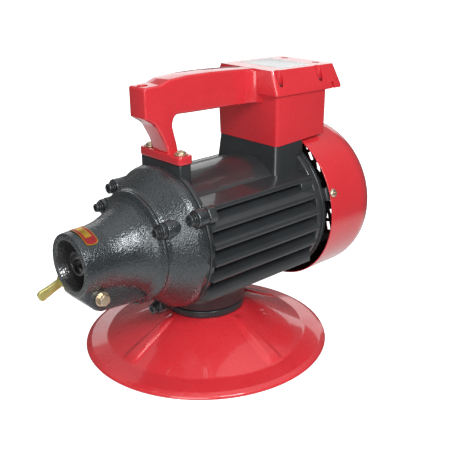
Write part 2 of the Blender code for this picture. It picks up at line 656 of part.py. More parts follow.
def handle_base():
    """Lower moulding: the switch box, the under half of the grip, the leg and its foot."""
    top = SEAM_Z
    box = frustum((-42.8, 42.8, BOX_FRONT + 0.6, BOX_REAR), (-BOX_HALF, BOX_HALF, BOX_FRONT, BOX_REAR),
                  BOX_FLOOR, top)
    box = round_edges(box, 4.0, upright)
    saddle = rod(COWL_RADIUS + 1.5, COWL_FRONT - 1.5, BOX_REAR + 30, "Y", MOTOR_PIVOT, ROUND)
    leg = [(y, z - GAP / 2) for y, z in SEAM_LINE]
    leg += [(COLUMN_FRONT, 243.6), (-66.5, 240.3), (-60.9, 235.8), (-56.0, 227.5), (-52.3, 220.0),
            (-48.5, 210.0), (-47.2, 205.0), (-35.5, 205.0), (-36.2, 209.0), (-38.5, 217.0),
            (-40.6, 226.0), (-41.8, 234.0), (-40.2, 239.0), (-36.5, 241.8), (-30.0, 243.0),
            (-22.0, 242.3), (10.5, 241.1), (BOX_FRONT + 2, 239.6), (BOX_FRONT + 2, SEAM_Z - GAP / 2)]
    leg = union(prism(leg, -GRIP_HALF, GRIP_HALF, "X"), grip_flare(239.2, SEAM_Z))
    foot = block(-FOOT_HALF, FOOT_HALF, FOOT_FRONT, FOOT_REAR, FOOT_BOTTOM, FOOT_TOP)
    foot = round_edges(foot, 3.0, upright)
    posts = [rod(5.5, 232.0, top, "Z", (side * HOOD_SCREW_X, HOOD_SCREW_Y, 0)) for side in (-1, 1)]
    webs = [block(x - 2.5, x + 2.5, BOX_REAR - 1, HOOD_SCREW_Y, 232.0, top)
            for x in (-HOOD_SCREW_X, HOOD_SCREW_X)]
    body = union(carve(box, saddle), leg, foot, *posts, *webs)
    cavity = prism(plus_outline(BOX_HALF - WALL, 31.0, (BOX_FRONT + WALL, 74.0, 114.0, BOX_REAR - WALL)),
                   BOX_FLOOR + WALL, top + 5)
    arch = rod(COWL_RADIUS + 1.5 + WALL, COWL_FRONT - 1.5 - WALL, BOX_REAR + 30, "Y", MOTOR_PIVOT, ROUND)
    cuts = [carve(cavity, arch)]
    for side in (-1, 1):
        foot_place = (side * FOOT_SCREW_X, (FOOT_FRONT + FOOT_REAR) / 2, 0)
        cuts.append(rod(2.8, FOOT_BOTTOM - 5, FOOT_TOP + 5, "Z", foot_place))
        cuts.append(rod(3.3, BOX_FLOOR - 5, BOX_FLOOR + 8, "Z", (side * BOX_SCREW_X, BOX_SCREW_Y, 0)))
        cuts.append(rod(2.3, 236.0, top + 5, "Z", (side * HOOD_SCREW_X, HOOD_SCREW_Y, 0)))
        for y in COVER_SCREW_Y:
            cuts.append(rod(2.3, 236.0, top + 5, "Z", (side * COVER_SCREW_X, y, 0)))
    cuts.append(rod(2.3, 243.0, top + 5, "Z", (0, GRIP_SCREW_Y, 0)))
    cuts.append(rod(7.0, BOX_FLOOR - 5, BOX_FLOOR + 8, "Z", (0, WIRE_HOLE_Y, 0)))
    cuts.append(block(-7.0, 7.0, BOX_REAR - 8, BOX_REAR + 5, SWITCH_Z - 11, SWITCH_Z + 11))
    cuts.append(rod(8.3, -50, -30, "X", (0, GLAND_Y, GLAND_Z), MEDIUM))
    return lean(carve(body, *cuts))


def handle_cover():
    """Upper moulding: the box lid with its rain hood and the top half of the grip."""
    low = SEAM_Z + GAP
    rim = 251.0
    skirt = block(-LID_RIM_HALF, LID_RIM_HALF, LID_FRONT, HOOD_REAR + 2, low, rim)
    crown = frustum((-LID_RIM_HALF, LID_RIM_HALF, LID_FRONT, HOOD_REAR + 2),
                    (-LID_TOP_HALF, LID_TOP_HALF, LID_FRONT + 1, HOOD_REAR - 2), rim, LID_TOP)
    lid = union(skirt, crown)
    grip = [(y, z + GAP / 2) for y, z in SEAM_LINE]
    grip += [(COLUMN_FRONT, 268.6), (COLUMN_FRONT + 0.9, 270.7), (COLUMN_FRONT + 3, 271.6),
             (-57.5, 271.8), (-53.0, 272.6), (-47.0, 274.4), (-38.0, 276.0), (-21.0, 276.8),
             (8.0, 276.2), (40.0, 274.4), (BOX_FRONT + 3, LID_TOP - 0.5), (BOX_FRONT + 3, SEAM_Z + GAP)]
    grip = prism(grip, -GRIP_HALF, GRIP_HALF, "X")
    grip = round_edges(grip, 2.0, lambda a, b: abs(a.x - b.x) < 1 and min(a.z, b.z) > 268, 2)
    below = [(y, z + GAP / 2) for y, z in SEAM_LINE] + [(COLUMN_FRONT, 240.0), (BOX_FRONT - 2, 240.0)]
    below = prism(below, -GRIP_HALF - GAP, GRIP_HALF + GAP, "X")
    flare = carve(grip_flare(low, LID_TOP - 0.5), below)
    body = union(lid, grip, flare)
    notches = [block(side * 42, side * 50, 136.5, 139.5, low - 1, 256.0) for side in (-1, 1)]
    ceiling = LID_TOP - WALL
    cuts = [prism(plus_outline(38.0, 31.0, (BOX_FRONT + WALL, 74.0, 114.0, 126.0)), low - 5, 266.0),
            frustum((-41.0, 41.0, 131.0, HOOD_REAR - 1), (-34.0, 34.0, 131.0, HOOD_REAR - 5),
                    low - 0.5, ceiling),
            block(-29.0, 29.0, 78.0, 123.0, LID_TOP - 1.0, LID_TOP + 5)]
    for side in (-1, 1):
        for y in COVER_SCREW_Y:
            place = (side * (COVER_SCREW_X + 0.5), y, 0)
            cuts.append(rod(4.7, 257.0, LID_TOP + 5, "Z", place))
            cuts.append(rod(2.3, low - 5, 260.0, "Z", (side * COVER_SCREW_X, y, 0)))
    body = carve(body, *cuts, *notches)
    posts = [rod(5.5, low, ceiling + 1, "Z", (side * HOOD_SCREW_X, HOOD_SCREW_Y, 0)) for side in (-1, 1)]
    body = union(body, *posts)
    cuts = []
    for side in (-1, 1):
        place = (side * HOOD_SCREW_X, HOOD_SCREW_Y, 0)
        cuts.append(rod(4.0, LID_TOP - 3.0, LID_TOP + 5, "Z", place))
        cuts.append(rod(2.3, low - 5, LID_TOP, "Z", place))
    cuts.append(rod(5.2, GRIP_SCREW_Z, LID_TOP + 5, "Z", (0, GRIP_SCREW_Y, 0)))
    cuts.append(rod(2.3, SEAM_Z - 10, LID_TOP, "Z", (0, GRIP_SCREW_Y, 0)))
    return lean(carve(body, *cuts))


def switch_body():
    """Panel rocker switch with an open pocket for its rocker."""
    z = SWITCH_Z
    case = block(-6.7, 6.7, BOX_REAR - 22, BOX_REAR + 1, z - 10.7, z + 10.7)
    flange = block(-9.5, 9.5, BOX_REAR + GAP, BOX_REAR + 2.3, z - 13.5, z + 13.5)
    pocket = block(-5.3, 5.3, BOX_REAR - 9, BOX_REAR + 8, z - 9.2, z + 9.2)
    return carve(union(case, flange), pocket)


def switch_rocker():
    """Rocker, leaning to its off side."""
    outline = [(-4.5, -3.0), (-4.5, 3.0), (0.5, 8.0), (2.8, 8.2), (1.4, 0.0), (2.8, -8.2), (0.5, -8.0)]
    lean = math.radians(SWITCH_OFF_TILT)
    points = []
    for y, z in outline:
        points.append((SWITCH_PIVOT[1] + y * math.cos(lean) + z * math.sin(lean),
                       SWITCH_PIVOT[2] - y * math.sin(lean) + z * math.cos(lean)))
    return prism(points, -5.0, 5.0, "X")


def cable_gland():
    """Hollow clamping gland through the far side wall of the box."""
    place = (0, GLAND_Y, GLAND_Z)
    profile = [(5.0, -60.0), (8.0, -60.0), (10.0, -56.0), (10.0, -50.0), (11.5, -50.0),
               (11.5, -BOX_HALF - GAP), (8.0, -BOX_HALF - GAP), (8.0, -34.0), (5.0, -34.0)]
    return turned(profile, MEDIUM, "X", place)


def make_handle(assembly):
    assembly.add("handle_base", handle_base(), "red", "motor")
    assembly.add("handle_cover", handle_cover(), "red", "motor")
    middle = (FOOT_FRONT + FOOT_REAR) / 2
    for k, side in enumerate((-1, 1), 1):
        screw = pan_screw(2.5, 5.2, FOOT_TOP + GAP, FOOT_TOP + 3.6, 190.0, "Z",
                          (side * FOOT_SCREW_X, middle, 0))
        assembly.add(f"foot_screw_{k}", screw, "zinc", "motor")
        screw = pan_screw(3.0, 5.5, BOX_FLOOR + WALL + GAP, BOX_FLOOR + WALL + 3.8, 188.0, "Z",
                          (side * BOX_SCREW_X, BOX_SCREW_Y, 0))
        assembly.add(f"box_screw_{k}", lean(screw), "zinc", "motor")
        screw = pan_screw(2.0, 3.6, LID_TOP - 3.0 + GAP, LID_TOP - 0.5, 237.0, "Z",
                          (side * HOOD_SCREW_X, HOOD_SCREW_Y, 0))
        assembly.add(f"hood_screw_{k}", lean(screw), "bolt", "motor")
    corners = [(side * COVER_SCREW_X, y, 0) for y in COVER_SCREW_Y for side in (-1, 1)]
    for k, corner in enumerate(corners, 1):
        screw = pan_screw(2.0, 4.0, 257.0 + GAP, 260.0, 237.0, "Z", corner)
        assembly.add(f"cover_screw_{k}", lean(screw), "bolt", "motor")
    screw = pan_screw(2.0, 4.6, GRIP_SCREW_Z + GAP, GRIP_SCREW_Z + 2.8, 243.5, "Z", (0, GRIP_SCREW_Y, 0))
    assembly.add("grip_screw", screw, "bolt", "motor")
    plate = block(-28.5, 28.5, 78.5, 122.5, LID_TOP - 1.0 + GAP, LID_TOP + 0.2)
    assembly.add("label_plate", lean(plate), "label", "motor")
    assembly.add("switch_body", switch_body(), "plastic", "motor")
    assembly.add("switch_rocker", switch_rocker(), "plastic", "switch")
    assembly.add("cable_gland", cable_gland(), "plastic", "motor")
    terminals = block(-16.0, 16.0, 80.5, 92.0, BOX_FLOOR + WALL + GAP, BOX_FLOOR + WALL + 14)
    assembly.add("terminal_block", lean(terminals), "plastic", "motor")


# ---- stator, bearings, seal and swivel stud -----------------------------------------
def make_inside(assembly):
    core = ring(30.3, STATOR_RADIUS - GAP, -25.0, 65.0, "Y", MOTOR_PIVOT, ROUND)
    assembly.add("stator_core", core, "lamination", "motor")
    for name, low, high in (("winding_front", -42.0, -25.3), ("winding_rear", 65.3, 82.0)):
        profile = [(47.0, low + 3), (47.0, high - 3), (44.0, high), (36.0, high), (33.0, high - 3),
                   (33.0, low + 3), (36.0, low), (44.0, low)]
        assembly.add(name, turned(profile, MEDIUM), "copper", "motor")
    bearing = ring(10.3, 23.5, -80.7, -66.7, "Y", MOTOR_PIVOT)
    assembly.add("front_bearing", bearing, "steel", "motor")
    bearing = ring(8.8, 20.0, 97.5, 109.5, "Y", MOTOR_PIVOT)
    assembly.add("rear_bearing", bearing, "steel", "motor")
    lip = [(22.7, -111.5), (22.7, -103.8), (15.0, -103.8), (12.3, -106.0), (12.3, -108.0),
           (15.0, -111.5)]
    assembly.add("shaft_seal", turned(lip, MEDIUM), "rubber", "motor")
    stud = rod(STUD_RADIUS, 10.0, 66.0, "Z", BASE_PIVOT, MEDIUM)
    cross_hole = rod(1.8, -12, 12, "X", (0, 0, 14.5))
    assembly.add("pivot_stud", carve(stud, cross_hole), "zinc", "motor")
    nut = prism(hexagon(26.0), 19.5, 33.4)
    bore = rod(STUD_RADIUS + GAP, 15, 40, "Z", BASE_PIVOT, MEDIUM)
    assembly.add("pivot_nut", carve(nut, bore), "zinc", "motor")
    cotter = rod(1.5, -13.0, 13.0, "X", (0, 0, 14.5))
    assembly.add("pivot_cotter", cotter, "steel", "motor")


# ---- rotor --------------------------------------------------------------------------
def cooling_fan():
    """Radial fan: a hub and back plate with flat blades that narrow towards the rear."""
    body = turned([(7.3, 116.0), (14.0, 116.0), (60.0, 117.5), (60.0, 119.5), (14.0, 122.0),
                   (14.0, 142.0), (7.3, 142.0)], ROUND)
    blades = []
    count = 8
    for k in range(count):
        outline = [(13.0, 118.5), (59.0, 118.5), (57.5, 121.0), (40.0, 142.0), (13.0, 142.0)]
        blade = prism(outline, AXIS_Z - 1.2, AXIS_Z + 1.2, "Z")
        blades.append(about_motor_axis(blade, 360.0 * k / count))
    return union(body, *blades)


def ramp_tooth(start_angle, sweep, rise, front):
    """One helical jaw of the one-way drive dog, climbing towards -Y."""
    bm = bmesh.new()
    steps = 8
    rows = []
    for k in range(steps + 1):
        turn = math.radians(start_angle + sweep * k / steps)
        tip = front - 0.6 - rise * k / steps
        row = []
        for radius, y in ((5.0, front + 1), (11.0, front + 1), (11.0, tip), (5.0, tip)):
            row.append(bm.verts.new((radius * math.cos(turn), y, AXIS_Z + radius * math.sin(turn))))
        rows.append(row)
    bm.faces.new(rows[0])
    bm.faces.new(rows[-1])
    for low, high in zip(rows, rows[1:]):
        for i in range(4):
            j = (i + 1) % 4
            bm.faces.new((low[i], low[j], high[j], high[i]))
    return seal(bm)


def drive_dog():
    """Sleeve on the shaft nose whose two ramps drive the flexible shaft one way only."""
    sleeve = turned([(0, DOG_FACE), (11.0, DOG_FACE), (12.0, DOG_FACE + 1), (12.0, -92.3), (8.3, -92.3),
                     (8.3, -112.3), (0, -112.3)], MEDIUM)
    teeth = [ramp_tooth(angle, 150.0, DOG_CLIMB, DOG_FACE) for angle in (20.0, 200.0)]
    return union(sleeve, *teeth)


def make_rotor(assembly):
    profile = [(0, -112.0), (7.0, -112.0), (8.0, -111.0), (8.0, -90.0), (10.0, -90.0), (10.0, -60.0),
               (12.5, -60.0), (12.5, -32.0), (14.0, -32.0), (14.0, 72.0), (11.0, 72.0), (11.0, 92.0),
               (8.5, 92.0), (8.5, 112.0), (7.0, 112.0), (7.0, 148.0), (0, 148.0)]
    assembly.add("rotor_shaft", turned(profile, MEDIUM), "steel", "rotor")
    core = [(29.6, -22.0), (29.6, 62.0), (27.0, 62.0), (27.0, 68.0), (14.3, 68.0), (14.3, -28.0),
            (27.0, -28.0), (27.0, -22.0)]
    assembly.add("rotor_core", turned(core, ROUND), "lamination", "rotor")
    assembly.add("cooling_fan", cooling_fan(), "plastic", "rotor")
    assembly.add("drive_dog", drive_dog(), "steel", "rotor")


# ---- locking lever ------------------------------------------------------------------
def lock_lever():
    """Cross pin with a flat, a long hub, and the bar that turns it."""
    pin = rod(LOCK_PIN_RADIUS, ARM_FAR, LOBE_HALF - 0.5, "X", LEVER_PIVOT, MEDIUM)
    hub = rod(HUB_RADIUS, ARM_FAR, -LOBE_HALF - GAP, "X", LEVER_PIVOT, MEDIUM)
    end_y, end_z = ARM_END
    along = Vector((end_y - LOCK_Y, end_z - LOCK_Z)).normalized()
    side = 4.5 * Vector((-along.y, along.x))
    outline = [Vector((LOCK_Y, LOCK_Z)) + side, Vector((end_y, end_z)) + side,
               Vector((end_y, end_z)) - side, Vector((LOCK_Y, LOCK_Z)) - side]
    arm = prism([tuple(point) for point in outline], ARM_FAR, ARM_NEAR, "X")
    tip = rod(ARM_END_RADIUS, ARM_FAR, ARM_NEAR, "X", (0.0, end_y, end_z), MEDIUM)
    flat = block(-8.0, 8.0, LOCK_Y - 9, LOCK_Y + 9, LOCK_Z - 9, LOCK_Z - 4.5)
    thread = rod(3.3, LOBE_HALF - 12, LOBE_HALF + 5, "X", LEVER_PIVOT)
    return carve(union(pin, hub, arm, tip), flat, thread)


def make_lever(assembly):
    assembly.add("lock_lever", lock_lever(), "zinc", "lever")
    washer = ring(3.3, 7.0, LOBE_HALF + GAP, LOBE_HALF + 2.3, "X", LEVER_PIVOT)
    assembly.add("lock_washer", washer, "zinc", "lever")
    head = prism(hexagon(10.0, (LOCK_Y, LOCK_Z), 10.0), LOBE_HALF + 2.6, LOBE_HALF + 6.8, "X")
    stem = rod(3.0, LOBE_HALF - 11, LOBE_HALF + 4, "X", LEVER_PIVOT)
    assembly.add("lock_screw", union(head, stem), "zinc", "lever")


def nose_sticker():
    """Blank sticker: a strip with one round end, wrapped on the nose cone."""
    middle_y, half_width = -140.0, 6.2
    round_from, near_end, far_end = 62.0, 50.0, 115.0
    angles = [near_end + 0.4, 51.5, 53.5, 57.0, round_from, 75.0, 88.0, 101.0, far_end]
    rings = []
    bm = bmesh.new()
    for angle in angles:
        short = max(0.0, (round_from - angle) / (round_from - near_end))
        reach = half_width * math.sqrt(1.0 - short ** 2)
        turn = math.radians(angle)
        corners = []
        for offset, height in ((-reach, 0.35), (reach, 0.35), (reach, 0.75), (-reach, 0.75)):
            radius = 30.2 + 0.03 * offset + height
            x, z = radius * math.cos(turn), AXIS_Z + radius * math.sin(turn)
            corners.append(bm.verts.new((x, middle_y + offset, z)))
        rings.append(corners)
    bm.faces.new(rings[0])
    bm.faces.new(rings[-1])
    for low, high in zip(rings, rings[1:]):
        for i in range(4):
            j = (i + 1) % 4
            bm.faces.new((low[i], low[j], high[j], high[i]))
    return seal(bm)


def main():
    for piece in list(bpy.data.objects):
        bpy.data.objects.remove(piece, do_unlink=True)
    assembly = Assembly()
    assembly.body("base", BASE_PIVOT)
    assembly.body("motor", MOTOR_PIVOT, "base")
    assembly.body("rotor", MOTOR_PIVOT, "motor")
    assembly.body("lever", LEVER_PIVOT, "motor")
    assembly.body("switch", SWITCH_PIVOT, "motor")
    make_base(assembly)
    make_castings(assembly)
    make_handle(assembly)
    make_inside(assembly)
    make_rotor(assembly)
    make_lever(assembly)
    assembly.add("nose_sticker", nose_sticker(), "sticker", "motor")


main()
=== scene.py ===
import json
import math

import bmesh
import bpy
from mathutils import Matrix, Vector


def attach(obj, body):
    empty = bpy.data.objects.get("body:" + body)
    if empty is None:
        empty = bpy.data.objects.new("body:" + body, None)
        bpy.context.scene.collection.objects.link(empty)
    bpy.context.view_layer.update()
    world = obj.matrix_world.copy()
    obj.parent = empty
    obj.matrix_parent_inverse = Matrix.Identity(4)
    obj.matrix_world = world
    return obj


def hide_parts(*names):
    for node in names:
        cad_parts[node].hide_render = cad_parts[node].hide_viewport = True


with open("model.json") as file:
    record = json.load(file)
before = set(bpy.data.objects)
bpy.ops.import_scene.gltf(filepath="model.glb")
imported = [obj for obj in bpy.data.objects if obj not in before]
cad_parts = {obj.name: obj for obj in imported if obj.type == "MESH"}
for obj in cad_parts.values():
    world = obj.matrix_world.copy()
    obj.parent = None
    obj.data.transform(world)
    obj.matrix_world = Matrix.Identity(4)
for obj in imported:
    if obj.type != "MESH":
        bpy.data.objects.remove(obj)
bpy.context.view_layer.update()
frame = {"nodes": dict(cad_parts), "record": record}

MM = 0.001
SWIVEL_Y = -5.5                # the swivel axis in the frame's coordinates
AXIS_Z = 125.5                 # height of the motor's axis
MOTOR = (0.0, 0.0, AXIS_Z)
ORIGIN = (0.0, 0.0, 0.0)
LOCK = (0.0, -136.0, 95.0)     # where the lock lever's axis crosses the middle plane
FINE = 144                     # sides of the large turned surfaces


# ---- node material helpers ----------------------------------------------------------
def fill_ramp(ramp, stops):
    """Give a colour ramp its stops, each as (place, (red, green, blue))."""
    while len(ramp.elements) < len(stops):
        ramp.elements.new(0.5)
    for element, (place, colour) in zip(ramp.elements, stops):
        element.position = place
        element.color = (*colour, 1.0)


class Nodes:
    """A small wrapper that adds and links shader nodes."""

    def __init__(self, name):
        self.material = bpy.data.materials.new(name)
        self.material.use_nodes = True
        self.tree = self.material.node_tree
        self.shader = self.tree.nodes["Principled BSDF"]
        self.where = self.add("ShaderNodeTexCoord").outputs["Object"]

    def add(self, kind, **settings):
        node = self.tree.nodes.new(kind)
        for key, value in settings.items():
            setattr(node, key, value)
        return node

    def link(self, source, target):
        self.tree.links.new(source, target)

    def noise(self, scale, detail=2.0, rough=0.5, stretch=None):
        """Cloudy noise: scale in lumps per metre, stretch in factors along x, y and z."""
        node = self.add("ShaderNodeTexNoise")
        node.inputs["Scale"].default_value = scale
        node.inputs["Detail"].default_value = detail
        node.inputs["Roughness"].default_value = rough
        self.link(self.stretched(stretch), node.inputs["Vector"])
        return node.outputs["Fac"]

    def cells(self, scale, feature="F1", smooth=None):
        node = self.add("ShaderNodeTexVoronoi", feature=feature)
        node.inputs["Scale"].default_value = scale
        if smooth is not None:
            node.inputs["Smoothness"].default_value = smooth
        self.link(self.where, node.inputs["Vector"])
        return node.outputs["Distance"]

    def stretched(self, stretch):
        if stretch is None:
            return self.where
        node = self.add("ShaderNodeMapping")
        node.inputs["Scale"].default_value = stretch
        self.link(self.where, node.inputs["Vector"])
        return node.outputs["Vector"]

    def ramp(self, source, stops):
        """Turn a value into a colour."""
        node = self.add("ShaderNodeValToRGB")
        fill_ramp(node.color_ramp, stops)
        self.link(source, node.inputs["Fac"])
        return node.outputs["Color"]

    def level(self, source, low, high, to_low, to_high):
        """Move a value from the range low..high to the range to_low..to_high."""
        node = self.add("ShaderNodeMapRange")
        for socket, value in zip(("From Min", "From Max", "To Min", "To Max"),
                                 (low, high, to_low, to_high)):
            node.inputs[socket].default_value = value
        self.link(source, node.inputs["Value"])
        return node.outputs["Result"]

    def coordinates(self):
        """The x, y and z of the point that is shaded, in metres."""
        node = self.add("ShaderNodeSeparateXYZ")
        self.link(self.where, node.inputs["Vector"])
        return node.outputs["X"], node.outputs["Y"], node.outputs["Z"]

    def maths(self, operation, first, second=0.0):
        node = self.add("ShaderNodeMath", operation=operation)
        for socket, value in zip(node.inputs, (first, second)):
            if isinstance(value, (int, float)):
                socket.default_value = value
            else:
                self.link(value, socket)
        return node.outputs["Value"]

    def hypotenuse(self, first, second):
        squares = [self.maths("MULTIPLY", side, side) for side in (first, second)]
        return self.maths("SQRT", self.maths("ADD", *squares))

    def blend(self, factor, first, second):
        """Mix two colours; a Mix node keeps its colour sockets at 6 and 7, and their result at 2."""
        node = self.add("ShaderNodeMix", data_type="RGBA")
        for number, source in ((0, factor), (6, first), (7, second)):
            self.link(source, node.inputs[number])
        return node.outputs[2]

    def bump(self, height, strength, distance, normal=None):
        node = self.add("ShaderNodeBump")
        node.inputs["Strength"].default_value = strength
        node.inputs["Distance"].default_value = distance
        self.link(height, node.inputs["Height"])
        if normal is not None:
            self.link(normal, node.inputs["Normal"])
        return node.outputs["Normal"]

    def set(self, **values):
        """Link or set the shader's sockets, and give the finished material."""
        names = {"metal": "Metallic", "rough": "Roughness", "coat": "Coat Weight",
                 "coat_rough": "Coat Roughness", "colour": "Base Color", "normal": "Normal",
                 "coat_normal": "Coat Normal"}
        for key, value in values.items():
            socket = self.shader.inputs[names[key]]
            if isinstance(value, bpy.types.NodeSocket):
                self.link(value, socket)
            else:
                socket.default_value = value
        return self.material


def from_motor_axis(n):
    """Distance from the motor's axis, in metres."""
    x, _, z = n.coordinates()
    return n.hypotenuse(x, n.maths("SUBTRACT", z, AXIS_Z * MM))


def enamel(name, dark, light, rough=0.28, coat=1.0, peel=0.25, painted_shade_inside=None):
    """Gloss enamel: faint colour drift, orange peel, and a few dust nibs under the gloss.

    The argument for the drum's inside is (radius, station, reach): a drum about the motor's axis whose
    rounded rear edge has its centre at that radius and station. Inside that reach the enamel is painted
    near-black, as painted shade.
    """
    n = Nodes(name)
    drift = n.noise(14.0, 3.0)
    colour = n.ramp(drift, [(0.3, dark), (0.7, light)])
    if painted_shade_inside:
        radius, station, reach = painted_shade_inside
        _, y, _ = n.coordinates()
        outward = n.maths("MAXIMUM", n.maths("SUBTRACT", from_motor_axis(n), radius * MM))
        rearward = n.maths("MAXIMUM", n.maths("SUBTRACT", y, (station + SWIVEL_Y) * MM))
        within = n.maths("LESS_THAN", n.hypotenuse(outward, rearward), reach * MM)
        # painted shade: near-black colour inside the drum, where shadow falls
        inside_shade_colour = n.ramp(n.noise(50.0, 3.0), [(0.3, (0.020, 0.004, 0.005)), (0.7, (0.045, 0.008, 0.010))])
        colour = n.blend(within, colour, inside_shade_colour)
    wavy = n.bump(n.noise(260.0, 2.0), peel, 0.00012)
    nibs = n.level(n.cells(26.0), 0.0, 0.022, 1.0, 0.0)
    normal = n.bump(nibs, 0.35, 0.0004, wavy)
    roughness = n.level(n.noise(60.0, 4.0), 0.3, 0.8, rough - 0.06, rough + 0.1)
    return n.set(colour=colour, rough=roughness, coat=coat, coat_rough=0.05,
                 normal=normal, coat_normal=wavy)


def hammertone(name, bore=0.0):
    """Grey hammertone paint with a sparkling grain; inside the bore's radius, machined metal."""
    n = Nodes(name)
    grain = n.noise(1000.0, 2.0, 0.6)
    pools = n.cells(480.0, "SMOOTH_F1", 0.4)
    colour = n.ramp(n.maths("MULTIPLY", grain, n.level(pools, 0.0, 0.8, 0.75, 1.25)),
                    [(0.30, (0.036, 0.042, 0.046)), (0.62, (0.076, 0.087, 0.093))])
    rough = n.level(grain, 0.3, 0.7, 0.2, 0.3)
    if bore:
        cast = n.maths("GREATER_THAN", from_motor_axis(n), (bore + 0.3) * MM)
        turned_marks = n.ramp(n.noise(900.0, 2.0, 0.5, (0.1, 1.0, 0.1)),
                              [(0.3, (0.060, 0.060, 0.062)), (0.7, (0.120, 0.120, 0.124))])
        colour = n.blend(cast, turned_marks, colour)
        grain = n.maths("MULTIPLY", cast, grain)
    normal = n.bump(grain, 0.6, 0.0004, n.bump(pools, 0.4, 0.0006))
    return n.set(colour=colour, metal=0.6, rough=rough, coat=0.65, coat_rough=0.1,
                 normal=normal, coat_normal=normal)


def plated(name, tones, rough=0.28, grain=320.0, metal=1.0):
    """Plated or bright metal with clouded tone and fine drawn marks."""
    n = Nodes(name)
    colour = n.ramp(n.noise(110.0, 3.0), tones)
    marks = n.noise(grain, 3.0, 0.6, (1.0, 6.0, 1.0))
    normal = n.bump(marks, 0.2, 0.0002)
    roughness = n.level(marks, 0.3, 0.7, rough - 0.07, rough + 0.12)
    return n.set(colour=colour, metal=metal, rough=roughness, normal=normal)


def moulded(name, dark, light, rough, grain=700.0, strength=0.25):
    """Plastic, rubber or film with a fine moulded grain."""
    n = Nodes(name)
    texture = n.noise(grain, 2.0)
    colour = n.ramp(n.noise(45.0, 3.0), [(0.3, dark), (0.7, light)])
    normal = n.bump(texture, strength, 0.0002)
    roughness = n.level(texture, 0.3, 0.7, rough - 0.05, rough + 0.08)
    return n.set(colour=colour, rough=roughness, normal=normal)


def stacked_plates():
    """Core steel: thin plates stacked along the motor axis."""
    n = Nodes("core_steel")
    plates = n.add("ShaderNodeTexWave", bands_direction="Y")
    plates.inputs["Scale"].default_value = 300.0
    n.link(n.where, plates.inputs["Vector"])
    colour = n.ramp(plates.outputs["Fac"], [(0.2, (0.10, 0.10, 0.105)), (0.8, (0.33, 0.33, 0.34))])
    normal = n.bump(plates.outputs["Fac"], 0.4, 0.0002)
    return n.set(colour=colour, metal=0.9, rough=0.42, normal=normal)


RED = (0.65, 0.026, 0.036), (0.73, 0.033, 0.045)
CHARCOAL = (0.022, 0.025, 0.027), (0.034, 0.038, 0.041)

MATERIALS = {
    "red_enamel_cast": enamel("red_enamel_cast", *RED),
    "charcoal_enamel_cast": enamel("charcoal_enamel_cast", *CHARCOAL, rough=0.36, coat=0.6, peel=0.5),
    "red_enamel": enamel("red_enamel", *RED),
    "grey_hammertone": hammertone("grey_hammertone"),
    "charcoal_enamel": enamel("charcoal_enamel", *CHARCOAL, rough=0.36, coat=0.6, peel=0.5),
    "dark_bolt_steel": enamel("dark_bolt_steel", (0.014, 0.017, 0.019), (0.035, 0.041, 0.044),
                              rough=0.30, coat=0.8, peel=0.5),
    "yellow_zinc": plated("yellow_zinc", [(0.30, (0.58, 0.45, 0.30)), (0.50, (0.72, 0.60, 0.44)),
                                          (0.70, (0.62, 0.46, 0.36))], metal=0.85),
    "bright_steel": plated("bright_steel", [(0.3, (0.34, 0.34, 0.35)), (0.7, (0.50, 0.50, 0.51))]),
    "core_steel": stacked_plates(),
    "varnished_copper": plated("varnished_copper", [(0.3, (0.40, 0.13, 0.05)),
                                                    (0.7, (0.55, 0.20, 0.08))], 0.34, 900.0),
    "black_rubber": moulded("black_rubber", (0.012, 0.012, 0.012), (0.022, 0.022, 0.022), 0.62),
    "black_plastic": moulded("black_plastic", (0.016, 0.016, 0.017), (0.028, 0.028, 0.029), 0.40),
    "white_label": moulded("white_label", (0.76, 0.77, 0.78), (0.84, 0.85, 0.86), 0.30, 400.0, 0.1),
    "gold_sticker": plated("gold_sticker", [(0.3, (0.62, 0.36, 0.04)),
                                            (0.7, (0.80, 0.52, 0.10))], 0.30),
}

# Each node that comes from the CAD gets its slot's material.
for entry in frame["record"]["subparts"]:
    node = frame["nodes"][entry["node"]]
    node.data.materials.clear()
    node.data.materials.append(MATERIALS[entry["material_slot"]])


# ---- drawing helpers ----------------------------------------------------------------
# From a shape's own (u, v, station) to the frame's x, y and z, by the axis it lies along.
AXIS_TURN = {
    "X": Matrix(((0, 0, 1, 0), (1, 0, 0, 0), (0, 1, 0, 0), (0, 0, 0, 1))),
    "Y": Matrix(((1, 0, 0, 0), (0, 0, 1, 0), (0, 1, 0, 0), (0, 0, 0, 1))),
    "Z": Matrix.Identity(4),
}


def add_object(name, data):
    made = bpy.data.objects.new(name, data)
    bpy.context.scene.collection.objects.link(made)
    return made


def seal(bm):
    """Join points that meet and turn every face outwards."""
    bmesh.ops.remove_doubles(bm, verts=bm.verts, dist=1e-4)
    bmesh.ops.recalc_face_normals(bm, faces=bm.faces)
    return bm


def filleted(corners, closed=True, steps=5):
    """Polyline whose corners (u, v, radius) are rounded; (u, v) alone stays sharp."""
    points = []
    count = len(corners)
    for i, corner in enumerate(corners):
        here = Vector(corner[:2])
        radius = corner[2] if len(corner) > 2 else 0.0
        if radius <= 0 or (not closed and i in (0, count - 1)):
            points.append(tuple(here))
            continue
        back = Vector(corners[i - 1][:2]) - here
        ahead = Vector(corners[(i + 1) % count][:2]) - here
        half = back.angle(ahead) / 2
        reach = min(radius / math.tan(half), 0.49 * back.length, 0.49 * ahead.length)
        radius = reach * math.tan(half)
        inward = (back.normalized() + ahead.normalized()).normalized()
        middle = here + inward * radius / math.sin(half)
        start = here + back.normalized() * reach - middle
        sweep = start.angle_signed(here + ahead.normalized() * reach - middle)
        for k in range(steps + 1):
            turn = -sweep * k / steps
            points.append((middle.x + start.x * math.cos(turn) - start.y * math.sin(turn),
                           middle.y + start.x * math.sin(turn) + start.y * math.cos(turn)))
    return points


